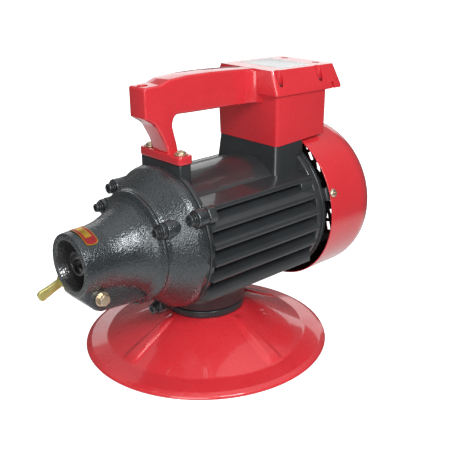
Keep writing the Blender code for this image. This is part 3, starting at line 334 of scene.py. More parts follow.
def turned(profile, axis="Y", centre=MOTOR, segments=FINE, steps=5):
    """Spin (radius, station, fillet) corners about an axis through centre."""
    open_chain = profile[0][0] == 0
    bm = bmesh.new()
    points = [bm.verts.new((radius, 0, station))
              for radius, station in filleted(profile, not open_chain, steps)]
    edges = [bm.edges.new(pair) for pair in zip(points, points[1:])]
    if not open_chain:
        edges.append(bm.edges.new((points[-1], points[0])))
    bmesh.ops.spin(bm, geom=points + edges, cent=(0, 0, 0), axis=(0, 0, 1),
                   angle=2 * math.pi, steps=segments, use_merge=True)
    bm.transform(AXIS_TURN[axis])
    offset = Vector(centre)
    offset["XYZ".index(axis)] = 0.0
    bmesh.ops.translate(bm, verts=bm.verts, vec=offset)
    return seal(bm)


def rod(radius, low, high, axis="Y", centre=MOTOR, segments=48, edge=0.0):
    return turned([(0, low), (radius, low, edge), (radius, high, edge), (0, high)],
                  axis, centre, segments, 3)


def ring(inner, outer, low, high, axis="Y", centre=MOTOR, segments=48, edge=0.0):
    profile = [(outer, low, edge), (outer, high, edge), (inner, high, edge), (inner, low, edge)]
    return turned(profile, axis, centre, segments, 3)


def inset(outline, amount):
    """The outline moved inwards by amount, corner by corner."""
    area = sum(a[0] * b[1] - b[0] * a[1] for a, b in zip(outline, outline[1:] + outline[:1]))
    hand = 1.0 if area > 0 else -1.0
    moved = []
    for i, here in enumerate(outline):
        back = (Vector(here) - Vector(outline[i - 1])).normalized()
        ahead = (Vector(outline[(i + 1) % len(outline)]) - Vector(here)).normalized()
        normals = [Vector((-d.y, d.x)) * hand for d in (back, ahead)]
        middle = normals[0] + normals[1]
        middle = middle / max(0.35, middle.length_squared / 2)
        moved.append((here[0] + middle.x * amount, here[1] + middle.y * amount))
    return moved


def bridge(bm, first, second):
    """Faces between two closed rows of as many points."""
    for i in range(len(first)):
        j = (i + 1) % len(first)
        bm.faces.new((first[i], first[j], second[j], second[i]))


def slab(corners, low, high, axis="Z", edge=0.0, steps=5, rim=3):
    """Extrude a filleted outline between two stations, with rounded rims at both ends."""
    outline = filleted(corners, True, steps)
    levels = [(low, 0.0)]
    if edge > 0:
        turns = [math.pi / 2 * k / rim for k in range(rim, -1, -1)]
        levels = [(low + edge * (1 - math.sin(t)), edge * (1 - math.cos(t))) for t in turns]
    levels += [(low + high - station, amount) for station, amount in reversed(levels)]
    bm = bmesh.new()
    rings = []
    for station, amount in levels:
        shape = inset(outline, amount) if amount > 1e-6 else outline
        rings.append([bm.verts.new((u, v, station)) for u, v in shape])
    bm.faces.new(rings[0])
    bm.faces.new(rings[-1])
    for first, second in zip(rings, rings[1:]):
        bridge(bm, first, second)
    bm.transform(AXIS_TURN[axis])
    return seal(bm)


def rectangle(x0, x1, y0, y1, corner=0.0):
    return [(x0, y0, corner), (x1, y0, corner), (x1, y1, corner), (x0, y1, corner)]


def block(x0, x1, y0, y1, z0, z1, corner=0.0, edge=0.0):
    return slab(rectangle(x0, x1, y0, y1, corner), z0, z1, "Z", edge)


def tapered(lower, upper, z0, z1, corner=0.0, steps=5):
    """Block between two filleted rectangles (x0, x1, y0, y1) at two heights."""
    bm = bmesh.new()
    rings = []
    for sides, z in ((lower, z0), (upper, z1)):
        shape = filleted(rectangle(*sides, corner), True, steps)
        rings.append([bm.verts.new((x, y, z)) for x, y in shape])
    bm.faces.new(rings[0])
    bm.faces.new(rings[1])
    bridge(bm, *rings)
    return seal(bm)


def hexagon(across_flats, corner=0.0):
    reach = across_flats / math.sqrt(3)
    angles = [math.radians(60 * k) for k in range(6)]
    return [(reach * math.cos(a), reach * math.sin(a), corner) for a in angles]


def scratch(bm):
    """A throwaway object that holds the shape while the boolean modifier works."""
    mesh = bpy.data.meshes.new("scratch")
    bm.to_mesh(mesh)
    bm.free()
    return add_object("scratch", mesh)


def together(shapes):
    """Several separate shapes in one mesh, for use as one cutter."""
    whole = bmesh.new()
    for shape in shapes:
        mesh = bpy.data.meshes.new("scratch")
        shape.to_mesh(mesh)
        shape.free()
        whole.from_mesh(mesh)
        bpy.data.meshes.remove(mesh)
    return whole


def combine(operation, body, tools):
    for tool in tools:
        holder, cutter = scratch(body), scratch(tool)
        modifier = holder.modifiers.new("cut", "BOOLEAN")
        modifier.operation = operation
        modifier.solver = "EXACT"
        modifier.object = cutter
        depsgraph = bpy.context.evaluated_depsgraph_get()
        result = bpy.data.meshes.new_from_object(holder.evaluated_get(depsgraph))
        body = bmesh.new()
        body.from_mesh(result)
        seal(body)
        for spent in (holder, cutter):
            bpy.data.objects.remove(spent, do_unlink=True)
    return body


def union(body, *tools):
    return combine("UNION", body, tools)


def carve(body, *tools):
    return combine("DIFFERENCE", body, tools)


def about_motor_axis(bm, angle):
    """Turn a shape about the motor's axis, from +X towards +Z."""
    turn = Matrix.Rotation(math.radians(-angle), 4, "Y")
    lift = Matrix.Translation((0, 0, AXIS_Z))
    bm.transform(lift @ turn @ lift.inverted())
    return bm


def on_circle(radius, angle):
    """The place at a radius and angle about the motor's axis."""
    spread = math.radians(angle)
    return radius * math.cos(spread), 0.0, AXIS_Z + radius * math.sin(spread)


def piece(name, bm, body, slot, stands_for=(), bevel=0.0, angle=32, segments=3, material=None):
    """Make the object in the frame's coordinates, finish its edges and hang it on its body."""
    bmesh.ops.translate(bm, verts=bm.verts, vec=(0, SWIVEL_Y, 0))
    bmesh.ops.scale(bm, verts=bm.verts, vec=(MM, MM, MM))
    mesh = bpy.data.meshes.new(name)
    bm.to_mesh(mesh)
    bm.free()
    mesh.shade_smooth()
    mesh.set_sharp_from_angle(angle=math.radians(angle))
    mesh.materials.append(material or MATERIALS[slot])
    made = add_object(name, mesh)
    if bevel > 0:
        modifier = made.modifiers.new("edges", "BEVEL")
        modifier.width = bevel * MM
        modifier.segments = segments
        modifier.limit_method = "ANGLE"
        modifier.angle_limit = math.radians(angle)
        modifier.harden_normals = True
        modifier.miter_outer = "MITER_ARC"
    if stands_for:
        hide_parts(*stands_for)
    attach(made, body)


# ---- base ---------------------------------------------------------------------------
def smooth_step(value):
    value = max(0.0, min(1.0, value))
    return value * value * (3 - 2 * value)


RIB_HEIGHT = 3.2
RIB_TURN = 1.5                 # degrees from the x and y axes to the four ribs


def dish_rise(radius, degrees):
    """Height of the four pressed ribs: a crisp shoulder on one side, a soft one on the other."""
    off = (degrees - RIB_TURN + 45.0) % 90.0 - 45.0
    across = smooth_step((off + 6.5) / 4.0) * smooth_step((5.2 - off) / 1.6)
    along = smooth_step((radius - 43.5) / 7.0) * smooth_step((104.0 - radius) / 9.0)
    return RIB_HEIGHT * across * along


def dish():
    """Pressed sheet drawn as one closed outline: the top, the turned-in rim, the underside."""
    top = [(8.6, 39.0), (30.0, 39.0), (41.0, 39.0, 2.0), (102.5, 8.8, 14.0), (119.5, 5.4, 4.0),
           (124.2, 3.4, 2.0)]
    rim = [(125.0, 1.6, 1.0), (124.2, 0.0, 0.7), (118.5, 0.0, 0.6), (118.5, 1.6), (122.0, 2.2)]
    under = [(118.0, 3.4), (102.0, 6.6, 12.0), (40.4, 37.0, 2.0), (8.6, 37.0)]
    chain = subdivided(filleted(top + rim + under, True, 7), 4.0)
    bm = bmesh.new()
    rows = []
    for degrees in range(360):
        turn = math.radians(degrees)
        rows.append([bm.verts.new((r * math.cos(turn), r * math.sin(turn), z + dish_rise(r, degrees)))
                     for r, z in chain])
    for row, following in zip(rows, rows[1:] + rows[:1]):
        bridge(bm, row, following)
    piece("dish", seal(bm), "base", "red_enamel", ("base_dish",), angle=50)


def subdivided(chain, longest):
    """The closed chain with points added until no side is longer than that."""
    points = []
    for a, b in zip(chain, chain[1:] + chain[:1]):
        parts = max(1, math.ceil(math.dist(a, b) / longest))
        for k in range(parts):
            points.append((a[0] + (b[0] - a[0]) * k / parts, a[1] + (b[1] - a[1]) * k / parts))
    return points


def swivel():
    """Round plate on the dish that the motor's neck turns on."""
    plate = ring(12.0, 40.0, 39.3, 46.0, "Z", ORIGIN, FINE, 0.6)
    piece("swivel_plate", plate, "base", "charcoal_enamel", ("swivel_ring",))


# ---- motor castings -----------------------------------------------------------------
BOLT_ANGLES = (30.0, 150.0, 270.0)       # where the bell, nose and shield bolts stand
BELL_CIRCLE, NOSE_CIRCLE, SHIELD_CIRCLE = 73.0, 54.0, 66.0
BELL_SEAT, NOSE_SEAT, SHIELD_SEAT = -62.0, -88.0, 101.0
FINS, FIN_PITCH, FIN_REACH = 6, 16.4, 76.0
SOCKET = 23.0                            # radius of the coupling socket in the nose
COWL_ANGLES = (18.0, 138.0, 258.0)       # where the cowl's screws stand
COWL_RADIUS, COWL_SCREW_Y = 82.0, 105.0


def lean(bm):
    """Slope the lid down and the box floor up towards the rear of the switch box."""
    box_front, rise, fall = 60.0, 0.04, 0.03
    for vert in bm.verts:
        behind = max(0.0, vert.co.y - box_front)
        of_lid = max(0.0, min(1.0, (vert.co.z - 242.0) / 4))
        of_floor = max(0.0, min(1.0, (215.0 - vert.co.z) / 10)) if vert.co.z > 195.0 else 0.0
        vert.co.z += behind * (rise * of_floor - fall * of_lid)
    return bm


def radial_slab(outline, low, high, angle, edge):
    """Outline of (radius, sideways) extruded along the motor axis and turned to an angle."""
    bm = slab(outline, low, high, "Z", edge)
    bm.transform(Matrix(((1, 0, 0, 0), (0, 0, 1, 0), (0, 1, 0, AXIS_Z), (0, 0, 0, 1))))
    return about_motor_axis(seal(bm), angle)


def fins():
    """Fins down both sides, each sloping up towards the next; the lowest has a deep lip."""
    shapes = []
    root = 40.0
    for k in range(FINS):
        height = FIN_PITCH * (k - (FINS - 1) / 2)
        tip = math.sqrt(FIN_REACH ** 2 - height ** 2)
        z = AXIS_Z + height
        lip = 7.4 if k == 0 else 2.4
        for side in (-1, 1):
            outline = [(side * root, z - lip - 2.2), (side * tip, z - lip, 1.3),
                       (side * tip, z + 2.4, 1.3)]
            if k < FINS - 1:
                outline += [(side * (tip - 17.0), z + 10.9, 3.0), (side * root, z + 10.9)]
            else:
                outline.append((side * root, z + 4.6))
            shapes.append(slab(outline, -48.5, 89.3, "Y", 0.0, 4))
    return shapes


def stator():
    """Barrel with its fins, neck, handle pad, switch-box pedestal, and bosses for the bolts."""
    core = turned([(0, -50.0), (71.0, -50.0, 1.2), (71.0, -44.5, 1.5), (60.5, -44.5, 2.5),
                   (60.5, 88.5, 2.5), (74.0, 88.5, 1.2), (74.0, 96.0, 1.0), (0, 96.0)])
    extra = fins()
    extra.append(rod(41.0, 48.0, 90.0, "Z", ORIGIN, 96, 0.5))
    extra.append(block(-30.0, 30.0, -49.8, -36.4, 160.0, 200.4, 2.0, 0.5))
    pedestal = tapered((-45.5, 45.5, 56.5, 100.4), (-42.2, 42.2, 60.5, 100.4), 162.0, 199.3, 5.0)
    extra.append(carve(lean(pedestal), rod(75.2, 96.0, 116.0, segments=FINE)))
    for angle in BOLT_ANGLES:
        top = 79.0 if angle > 180 else 80.5
        lug = [(50.0, -8.0), (top - 3.5, -8.0, 1.5), (top, -4.0, 1.5), (top, 4.0, 1.5),
               (top - 3.5, 8.0, 1.5), (50.0, 8.0)]
        extra.append(radial_slab(lug, -49.9, -41.0, angle, 0.8))
        extra.append(rod(8.0, 74.0, 95.8, "Y", on_circle(SHIELD_CIRCLE, angle), 48, 1.0))
    body = union(core, *extra)
    piece("stator_body", body, "motor", "charcoal_enamel_cast", ("stator_frame",), 1.0)


def bell():
    """Front bell with bosses for its own bolts and lugs for the nose's."""
    profile = [(70.0, -50.3, 0.6), (70.0, -55.5, 8.0), (68.0, -60.0, 12.0), (60.0, -70.5, 40.0),
               (53.0, -79.5, 8.0), (52.0, -83.0, 0.6), (44.2, -83.0), (44.2, -80.0), (60.0, -60.0, 3.0),
               (60.0, -50.3, 0.4)]
    body = turned(profile, steps=8)
    extra, cuts = [], []
    for angle in BOLT_ANGLES:
        outer = on_circle(BELL_CIRCLE, angle)
        extra.append(rod(7.2 if angle > 180 else 8.3, BELL_SEAT, -50.3, "Y", outer, 48, 1.2))
        lug = [(46.0, -8.0), (58.0, -8.0, 6.0), (62.0, 0.0, 7.0), (58.0, 8.0, 6.0), (46.0, 8.0)]
        extra.append(radial_slab(lug, -83.0, -66.5, angle, 1.0))
        cuts.append(rod(7.9, -85.0, BELL_SEAT, "Y", outer))
    body = carve(union(body, *extra), *cuts)
    piece("bell_casting", body, "motor", "grey_hammertone", ("front_bell",), 1.2)


def nose():
    """Flared nose with its coupling socket, its lugs and the lobe that the lock lever crosses."""
    profile = [(52.0, -83.3, 0.6), (52.0, -85.7, 1.6), (47.0, -88.5, 1.6), (43.5, -91.8, 6.0),
               (37.8, -101.0, 40.0), (32.2, -116.0, 60.0), (30.6, -126.0, 40.0), (29.9, -144.0, 40.0),
               (29.3, -153.5, 1.0), (23.6, -153.5, 0.5), (SOCKET, -152.5), (SOCKET, -103.5, 1.5),
               (14.0, -103.5), (14.0, -98.5), (33.0, -96.0), (38.5, -90.0), (44.0, -86.5), (44.0, -83.3)]
    body = turned(profile, steps=8)
    c = AXIS_Z
    lobe = [(-151.0, c - 18.7), (-151.0, c - 31.5, 6.0), (-143.0, c - 40.5, 6.0),
            (-137.0, c - 43.8, 5.0), (-122.0, c - 44.8, 4.0), (-95.0, c - 47.5), (-88.0, c - 47.5),
            (-88.0, c - 41.0), (-96.0, c - 34.0), (-98.5, c - 18.7)]
    extra = [slab(lobe, -20.0, 20.0, "X", 2.0)]
    cuts = [rod(SOCKET, -158.5, -103.5, segments=FINE), rod(9.8, -60.0, -20.0, "X", LOCK),
            rod(8.4, 20.0, 60.0, "X", LOCK)]
    for angle in BOLT_ANGLES:
        lug = [(40.0, -7.0), (58.0, -7.0, 5.0), (61.5, 0.0, 6.5), (58.0, 7.0, 5.0), (40.0, 7.0)]
        extra.append(radial_slab(lug, NOSE_SEAT, -83.3, angle, 0.8))
        cuts.append(rod(6.3, -112.0, NOSE_SEAT, "Y", on_circle(NOSE_CIRCLE, angle)))
    body = carve(union(body, *extra), *cuts)
    piece("nose_casting", body, "motor", "grey_hammertone", ("nose_housing",), 1.0,
          material=hammertone("nose_hammertone", SOCKET))


def cowl():
    """Deep-drawn drum with a grille of short radial slots in its rear."""
    front, rear, sheet, fillet = 101.0, 178.0, 1.5, 32.0
    inside = COWL_RADIUS - sheet
    profile = [(0.0, rear), (COWL_RADIUS, rear, fillet), (COWL_RADIUS, front, 0.6),
               (inside, front, 0.6), (inside, rear - sheet, fillet - sheet), (0.0, rear - sheet)]
    body = turned(profile, steps=16)

    def radial_slot(start, end, angle):
        cutter = block(start, end, rear - 8, rear + 5, AXIS_Z - 2.4, AXIS_Z + 2.4)
        return about_motor_axis(cutter, angle)

    outer = [radial_slot(start, end, 15.0 * k)
             for k in range(24) for start, end in ((30.0, 39.5), (43.5, 53.0))]
    inner = [radial_slot(15.0, 26.0, 15.0 + 30.0 * k) for k in range(12)]
    holes = [about_motor_axis(rod(2.8, 75.0, 90.0, "X", (0, COWL_SCREW_Y, AXIS_Z)), angle)
             for angle in COWL_ANGLES]
    body = carve(body, together(outer), together(inner), together(holes))
    # painted shade: the cowl's inside is coloured near-black, as if in shadow
    shade_drum = (COWL_RADIUS - fillet, rear - fillet, fillet - 0.8)
    piece("cowl_shell", body, "motor", "red_enamel", ("fan_cowl",), 0.4, 40, 2,
          material=enamel("cowl_enamel", *RED, painted_shade_inside=shade_drum))


def shield():
    """Rear end plate, with three tabs that the cowl's screws go into."""
    profile = [(74.0, 96.3, 0.8), (74.0, 100.5, 1.0), (69.0, 102.0, 3.0), (30.0, 107.0, 4.0),
               (26.0, 113.0, 1.5), (9.5, 113.0, 0.5), (9.5, 110.0), (20.3, 110.0), (20.3, 96.3)]
    tabs = []
    for angle in COWL_ANGLES:
        tab = block(58.0, 79.6, 98.5, 110.5, AXIS_Z - 6.5, AXIS_Z + 6.5, 2.0, 0.6)
        tabs.append(about_motor_axis(tab, angle))
    cuts = [rod(6.8, SHIELD_SEAT, 115.0, "Y", on_circle(SHIELD_CIRCLE, angle))
            for angle in BOLT_ANGLES]
    body = carve(union(turned(profile), *tabs), *cuts)
    piece("shield_casting", body, "motor", "charcoal_enamel_cast", ("rear_shield",), 0.8)


# ---- handle -------------------------------------------------------------------------
SEAM = [(62.0, 248.0), (58.0, 249.6), (53.0, 252.5), (38.0, 256.0), (12.0, 258.6), (-10.0, 258.6),
        (-29.0, 255.2), (-50.0, 249.6), (-72.0, 245.5), (-80.0, 244.0)]     # joint line of the grip
SEAM_Z = 249.6                 # joint line of the box
LID_TOP = 273.2
GRIP = 12.3                    # half the width of the grip
GRIP_SCREW = (0.0, -65.0, 267.8)
FOOT_SCREW_X, FOOT_SCREW_Y, FOOT_TOP = 22.5, -42.55, 208.7
POST_X, POST_Y = 22.0, 137.0   # the two screw posts under the rain hood


def grip_half(upper):
    """The grip and leg in one rounded outline, cut along the joint line."""
    outline = [(63.0, 272.7), (40.0, 274.4, 60.0), (8.0, 276.2, 60.0), (-21.0, 276.8, 60.0),
               (-44.0, 275.4, 14.0), (-54.0, 271.9, 6.0), (-72.0, 271.4, 2.5), (-72.0, 243.7, 2.0),
               (-60.9, 236.6, 14.0), (-51.5, 219.0, 60.0), (-47.2, 204.0), (-35.5, 204.0),
               (-38.0, 217.0, 60.0), (-42.2, 234.0, 10.0), (-39.0, 243.2, 7.0), (-22.0, 242.3, 20.0),
               (10.5, 241.1), (63.0, 239.6)]
    whole = slab(outline, -GRIP, GRIP, "X", 2.4, 8, 4)
    return carve(union(whole, flare(240.5, 271.5)), seam_cutter(upper))


def seam_cutter(upper):
    """Everything on the far side of the joint line, and a hair more, so that the halves part."""
    gap = 0.03 if upper else -0.03
    line = filleted([(y, z + gap, 30.0) for y, z in SEAM], False)
    far = 190.0 if upper else 300.0
    return slab(line + [(-90.0, far), (63.0, far)], -30.0, 30.0, "X")


def flare(low, high):
    """Spread of the grip into the front of the box."""
    half = [(GRIP - 0.5, 38.0), (GRIP + 0.05, 47.0, 12.0), (GRIP + 2.2, 56.8, 8.0), (24.0, 59.8),
            (24.0, 61.5)]
    mirrored = [(-x, *rest) for x, *rest in reversed(half)]
    return slab(half + mirrored, low, high, "Z", 0.6, 6)


def posts(radius, low, high):
    return [rod(radius, low, high, "Z", (x, POST_Y, 0)) for x in (-POST_X, POST_X)]


def lower_handle():
    """Foot, leg, lower half of the grip and the switch box, open for the switch and the gland."""
    box = tapered((-42.8, 42.8, 60.6, 131.0), (-44.0, 44.0, 60.0, 131.0), 199.6, SEAM_Z, 4.0, 6)
    saddle = rod(83.5, 99.5, 165.0, "Y", MOTOR, FINE)
    foot = block(-31.0, 31.0, -50.7, -34.4, 200.7, FOOT_TOP, 4.0, 1.0)
    webs = [block(x - 2.5, x + 2.5, 130.0, POST_Y, 232.0, SEAM_Z) for x in (-POST_X, POST_X)]
    body = union(carve(box, saddle), grip_half(False), foot, *posts(5.5, 232.0, SEAM_Z), *webs)
    window = block(-7.0, 7.0, 108.0, 136.0, 219.0, 241.0)
    gland = rod(8.3, -50.0, -30.0, "X", (0, 92.0, 224.0))
    holes = [rod(2.8, 195.0, 215.0, "Z", (x, FOOT_SCREW_Y, 0)) for x in (-FOOT_SCREW_X, FOOT_SCREW_X)]
    body = lean(carve(body, window, gland, together(holes)))
    stands_for = ("handle_base", "box_screw_1", "box_screw_2")
    piece("handle_lower", body, "motor", "red_enamel_cast", stands_for, 0.5)


def upper_handle():
    """Lid with its rain hood, the upper half of the grip, and the recesses for label and screws."""
    low, rim = SEAM_Z + 0.15, 252.6
    skirt = block(-46.0, 46.0, 57.5, 152.0, low, rim, 4.0)
    crown = tapered((-46.0, 46.0, 57.5, 152.0), (-37.5, 37.5, 58.5, 148.0), rim, LID_TOP, 4.0)
    body = union(skirt, crown, grip_half(True))
    cuts = [tapered((-41.0, 41.0, 131.0, 149.0), (-34.0, 34.0, 131.0, 145.0), low - 0.5, LID_TOP - 3.0),
            block(-29.0, 29.0, 78.0, 123.0, LID_TOP - 1.0, 280.0, 1.5)]
    pockets = [rod(4.3, 258.0, 280.0, "Z", (x, y, 0)) for x in (-39.6, 39.6) for y in (66.0, 122.0)]
    notches = [block(side * 42.0, side * 50.0, 136.5, 139.5, 247.0, 256.0) for side in (-1, 1)]
    body = carve(body, *cuts, together(pockets), together(notches))
    body = union(body, *posts(5.5, low, LID_TOP - 2.0))
    wells = posts(4.0, LID_TOP - 3.0, 280.0)
    wells.append(rod(5.2, GRIP_SCREW[2], 280.0, "Z", GRIP_SCREW))
    body = lean(carve(body, together(wells)))
    piece("handle_upper", body, "motor", "red_enamel_cast", ("handle_cover",), 0.5)


# ---- fasteners and small pieces -----------------------------------------------------
LIFT = 0.3                     # heads and washers stand this far off their seats


def pan_head(radius, low, high):
    """Domed screw head about Z with a cross recess, standing on the plane z = low."""
    rise = high - low
    head = turned([(0, low), (radius - 0.4, low, 0.3), (radius, low + 0.25 * rise, 1.2),
                   (0.72 * radius, high - 0.12 * rise, 1.5), (0, high)], "Z", ORIGIN, 40, 5)
    reach, half = 0.5 * radius, 0.09 * radius
    arms = [slab(rectangle(-x, x, -y, y), high - 0.6 * rise, high + 2)
            for x, y in ((reach, half), (half, reach))]
    return carve(head, *arms)


def hex_head(across, low, high):
    """Bolt head about Z with a turned chamfer."""
    head = slab(hexagon(across, corner=0.3), low, high)
    reach = across / math.sqrt(3) + 0.2
    crown = turned([(0, low), (reach, low), (reach, high - 0.9), (0.46 * across, high), (0, high)],
                   "Z", ORIGIN, 48, 2)
    return combine("INTERSECT", head, [crown])


def stand(bm, place, axis):
    """Turn a piece drawn about +Z on to an axis letter with a sign, at a place."""
    quarter = math.pi / 2
    turns = {"+Z": Matrix.Identity(4), "-Y": Matrix.Rotation(quarter, 4, "X"),
             "+Y": Matrix.Rotation(-quarter, 4, "X"), "+X": Matrix.Rotation(quarter, 4, "Y")}
    bm.transform(Matrix.Translation(place) @ turns[axis])
    return bm


def shank(radius, tip, top):
    return rod(radius, tip, top, "Z", ORIGIN)


def cap_screw(radius, tip):
    """Socket cap screw about Z standing on a spring washer and a plain washer."""
    washer, spring, top = LIFT + 1.3, 1.7, LIFT + 6.0
    start = washer + spring
    parts = [ring(1.0, radius + 1.5, LIFT, washer, "Z", ORIGIN, 48, 0.3),
             ring(1.0, radius + 0.4, washer + 0.25, start - 0.15, "Z", ORIGIN, 48, 0.4),
             shank(radius - 1.2, tip, start + 0.5),
             rod(radius, start, top, "Z", ORIGIN, 48, 0.7)]
    socket = slab(hexagon(radius), top - 2.2, top + 2.0)
    return carve(union(*parts), socket)


def front_and_rear_bolts():
    """Socket cap screws hold the bell and the nose, plain hexagon bolts the rear shield."""
    for k, angle in enumerate(BOLT_ANGLES, 1):
        x, _, z = on_circle(BELL_CIRCLE, angle)
        bolt = stand(cap_screw(5.2, -18.0), (x, BELL_SEAT, z), "-Y")
        piece(f"bell_bolt_head_{k}", bolt, "motor", "dark_bolt_steel", (f"bell_bolt_{k}",), 0.2,
              segments=2)
        x, _, z = on_circle(NOSE_CIRCLE, angle)
        bolt = stand(cap_screw(4.2, -14.0), (x, NOSE_SEAT, z), "-Y")
        piece(f"nose_bolt_head_{k}", bolt, "motor", "dark_bolt_steel", (f"nose_bolt_{k}",), 0.2,
              segments=2)
        x, _, z = on_circle(SHIELD_CIRCLE, angle)
        bolt = union(hex_head(10.0, LIFT, 4.3), shank(3.0, -14.0, 0.6))
        bolt = stand(bolt, (x, SHIELD_SEAT, z), "+Y")
        piece(f"shield_bolt_head_{k}", bolt, "motor", "dark_bolt_steel", (f"shield_bolt_{k}",),
              0.25, segments=2)


def cross_screws():
    """The zinc-plated screws of the cowl, the foot and the grip."""
    for k, angle in enumerate(COWL_ANGLES, 1):
        screw = union(pan_head(4.5, LIFT, 3.2), shank(2.0, -13.0, 0.6))
        screw = stand(screw, (COWL_RADIUS, COWL_SCREW_Y, AXIS_Z), "+X")
        piece(f"cowl_screw_head_{k}", about_motor_axis(screw, angle), "motor", "yellow_zinc",
              (f"cowl_screw_{k}",), 0.15, segments=2)
    for k, x in enumerate((-FOOT_SCREW_X, FOOT_SCREW_X), 1):
        washer = ring(2.0, 6.6, LIFT, 1.4, "Z", ORIGIN, 48, 0.25)
        screw = union(washer, pan_head(5.0, 1.3, 3.9), shank(2.5, -18.0, 1.6))
        screw = stand(screw, (x, FOOT_SCREW_Y, FOOT_TOP), "+Z")
        piece(f"foot_screw_head_{k}", screw, "motor", "yellow_zinc", (f"foot_screw_{k}",), 0.15,
              segments=2)
    screw = union(pan_head(4.4, LIFT, 2.8), shank(2.0, -24.0, 0.6))
    screw = stand(screw, GRIP_SCREW, "+Z")
    piece("grip_screw_head", screw, "motor", "yellow_zinc", ("grip_screw",), 0.15, segments=2)


def lock():
    """Cross pin, hub and flat arm, then the washer and the screw on the near end."""
    y, z = LOCK[1:]
    pin = rod(6.5, -42.0, 19.5, "X", LOCK, 64, 0.5)
    hub = rod(9.0, -42.0, -20.3, "X", LOCK, 64, 0.8)
    along = Vector((-24.5, -9.0)).normalized()       # forward and a little down, as (y, z)
    side = Vector((-along.y, along.x))
    bar = [(Vector((y, z)) + along * reach, half)
           for reach, half in ((-2.0, 4.2), (16.0, 4.2), (32.2, 5.4))]
    outline = [(*(place + side * half), 3.6) for place, half in bar]
    outline += [(*(place - side * half), 3.6) for place, half in reversed(bar)]
    arm = slab(outline, -42.0, -38.0, "X", 0.9)
    flat = block(-8.0, 8.0, y - 9, y + 9, z - 9, z - 4.5)
    zinc = plated("lever_zinc", [(0.3, (0.52, 0.48, 0.15)), (0.7, (0.70, 0.64, 0.26))], 0.36, metal=0.6)
    piece("lever_arm", carve(union(pin, hub, arm), flat), "lever", "yellow_zinc", ("lock_lever",), 0.4,
          material=zinc)
    washer = ring(3.3, 7.0, 20.3, 22.1, "X", LOCK, 64, 0.4)
    piece("lever_washer", washer, "lever", "yellow_zinc", ("lock_washer",))
    screw = stand(union(hex_head(10.0, 22.4, 27.0), shank(3.0, 9.0, 23.0)), LOCK, "+X")
    piece("lever_screw_head", screw, "lever", "yellow_zinc", ("lock_screw",), 0.25, segments=2)


def ramp(start):
    """One ramp of the drive dog: it climbs as it turns from the start angle, then drops."""
    steps, sweep, foot, climb = 24, 150.0, -141.6, 6.0
    bm = bmesh.new()
    rows = []
    for k in range(steps + 1):
        turn = math.radians(start + sweep * k / steps)
        tip = foot - climb * k / steps
        section = [(4.0, -140.5), (9.4, -140.5), (9.4, tip), (8.8, tip - 0.3), (4.6, tip - 0.3),
                   (4.0, tip)]
        rows.append([bm.verts.new((r * math.cos(turn), station, AXIS_Z + r * math.sin(turn)))
                     for r, station in section])
    bm.faces.new(rows[0])
    bm.faces.new(rows[-1])
    for row, following in zip(rows, rows[1:]):
        bridge(bm, row, following)
    return seal(bm)


def dog():
    """Drive sleeve with a raised rim round its two ramps."""
    sleeve = turned([(0, -141.0), (9.0, -141.0), (9.0, -146.5, 0.4), (12.0, -146.5, 1.2),
                     (12.0, -92.3, 0.5), (8.3, -92.3), (8.3, -112.3), (0, -112.3)], segments=96)
    body = union(sleeve, ramp(20.0), ramp(200.0))
    steel = plated("dog_steel", [(0.3, (0.10, 0.10, 0.105)), (0.7, (0.19, 0.19, 0.195))], 0.34)
    piece("dog_sleeve", body, "rotor", "bright_steel", ("drive_dog",), 0.3, material=steel)


def label():
    """Blank plate in the shallow recess of the lid."""
    plate = block(-28.5, 28.5, 78.5, 122.5, LID_TOP - 0.7, LID_TOP + 0.2, 2.0, 0.15)
    piece("label_sheet", lean(plate), "motor", "white_label", ("label_plate",))


def on_nose(place, height):
    """Where (degrees, mm along) falls at a height above the nose, which widens to the rear."""
    radius = 30.2 + 0.03 * (place.y + 140.0) + height
    turn = math.radians(place.x)
    return radius * math.cos(turn), place.y, AXIS_Z + radius * math.sin(turn)


def film(name, corners, low, high, material=None, stands_for=()):
    """Thin film wrapped on the nose; the outline is given as (degrees round, mm along)."""
    outline = filleted(corners, True, 8)
    flat = bmesh.new()
    flat.faces.new([flat.verts.new((angle, y, 0.0)) for angle, y in outline])
    first, last = min(a for a, _ in outline), max(a for a, _ in outline)
    hair = 0.003               # keeps the cuts, one a degree, off the outline's own points
    for angle in range(math.floor(first) + 1, math.ceil(last)):
        bmesh.ops.bisect_plane(flat, geom=flat.verts[:] + flat.edges[:] + flat.faces[:], dist=1e-5,
                               plane_co=(angle + hair, 0, 0), plane_no=(1, 0, 0))
    shell = bmesh.new()
    under = {vert: shell.verts.new(on_nose(vert.co, low)) for vert in flat.verts}
    over = {vert: shell.verts.new(on_nose(vert.co, high)) for vert in flat.verts}
    for face in flat.faces:
        shell.faces.new([under[vert] for vert in reversed(face.verts)])
        shell.faces.new([over[vert] for vert in face.verts])
    for edge in flat.edges:
        if len(edge.link_faces) == 1:
            a, b = edge.verts
            shell.faces.new((under[a], under[b], over[b], over[a]))
    flat.free()
    piece(name, seal(shell), "motor", "gold_sticker", stands_for, angle=40, material=material)


def badge(near, far, half):
    """Outline of a badge across the top of the nose, with its near end well rounded."""
    middle = -140.0
    return [(near, middle + half, half * 0.98), (far, middle + half), (far, middle - half),
            (near, middle - half, half * 0.98)]


def sticker():
    """Blank badge: a gold edge, a red field and a gold panel, with no lettering."""
    red = moulded("badge_red", (0.24, 0.006, 0.008), (0.32, 0.010, 0.012), 0.35, 300.0, 0.05)
    panel = [(63.0, -136.8, 0.6), (101.0, -136.8), (101.0, -143.2), (63.0, -143.2, 0.6)]
    film("badge_gold", badge(47.0, 104.0, 6.2), 0.35, 0.60, None, ("nose_sticker",))
    film("badge_field", badge(48.4, 103.4, 5.5), 0.58, 0.68, red)
    film("badge_panel", panel, 0.66, 0.75)


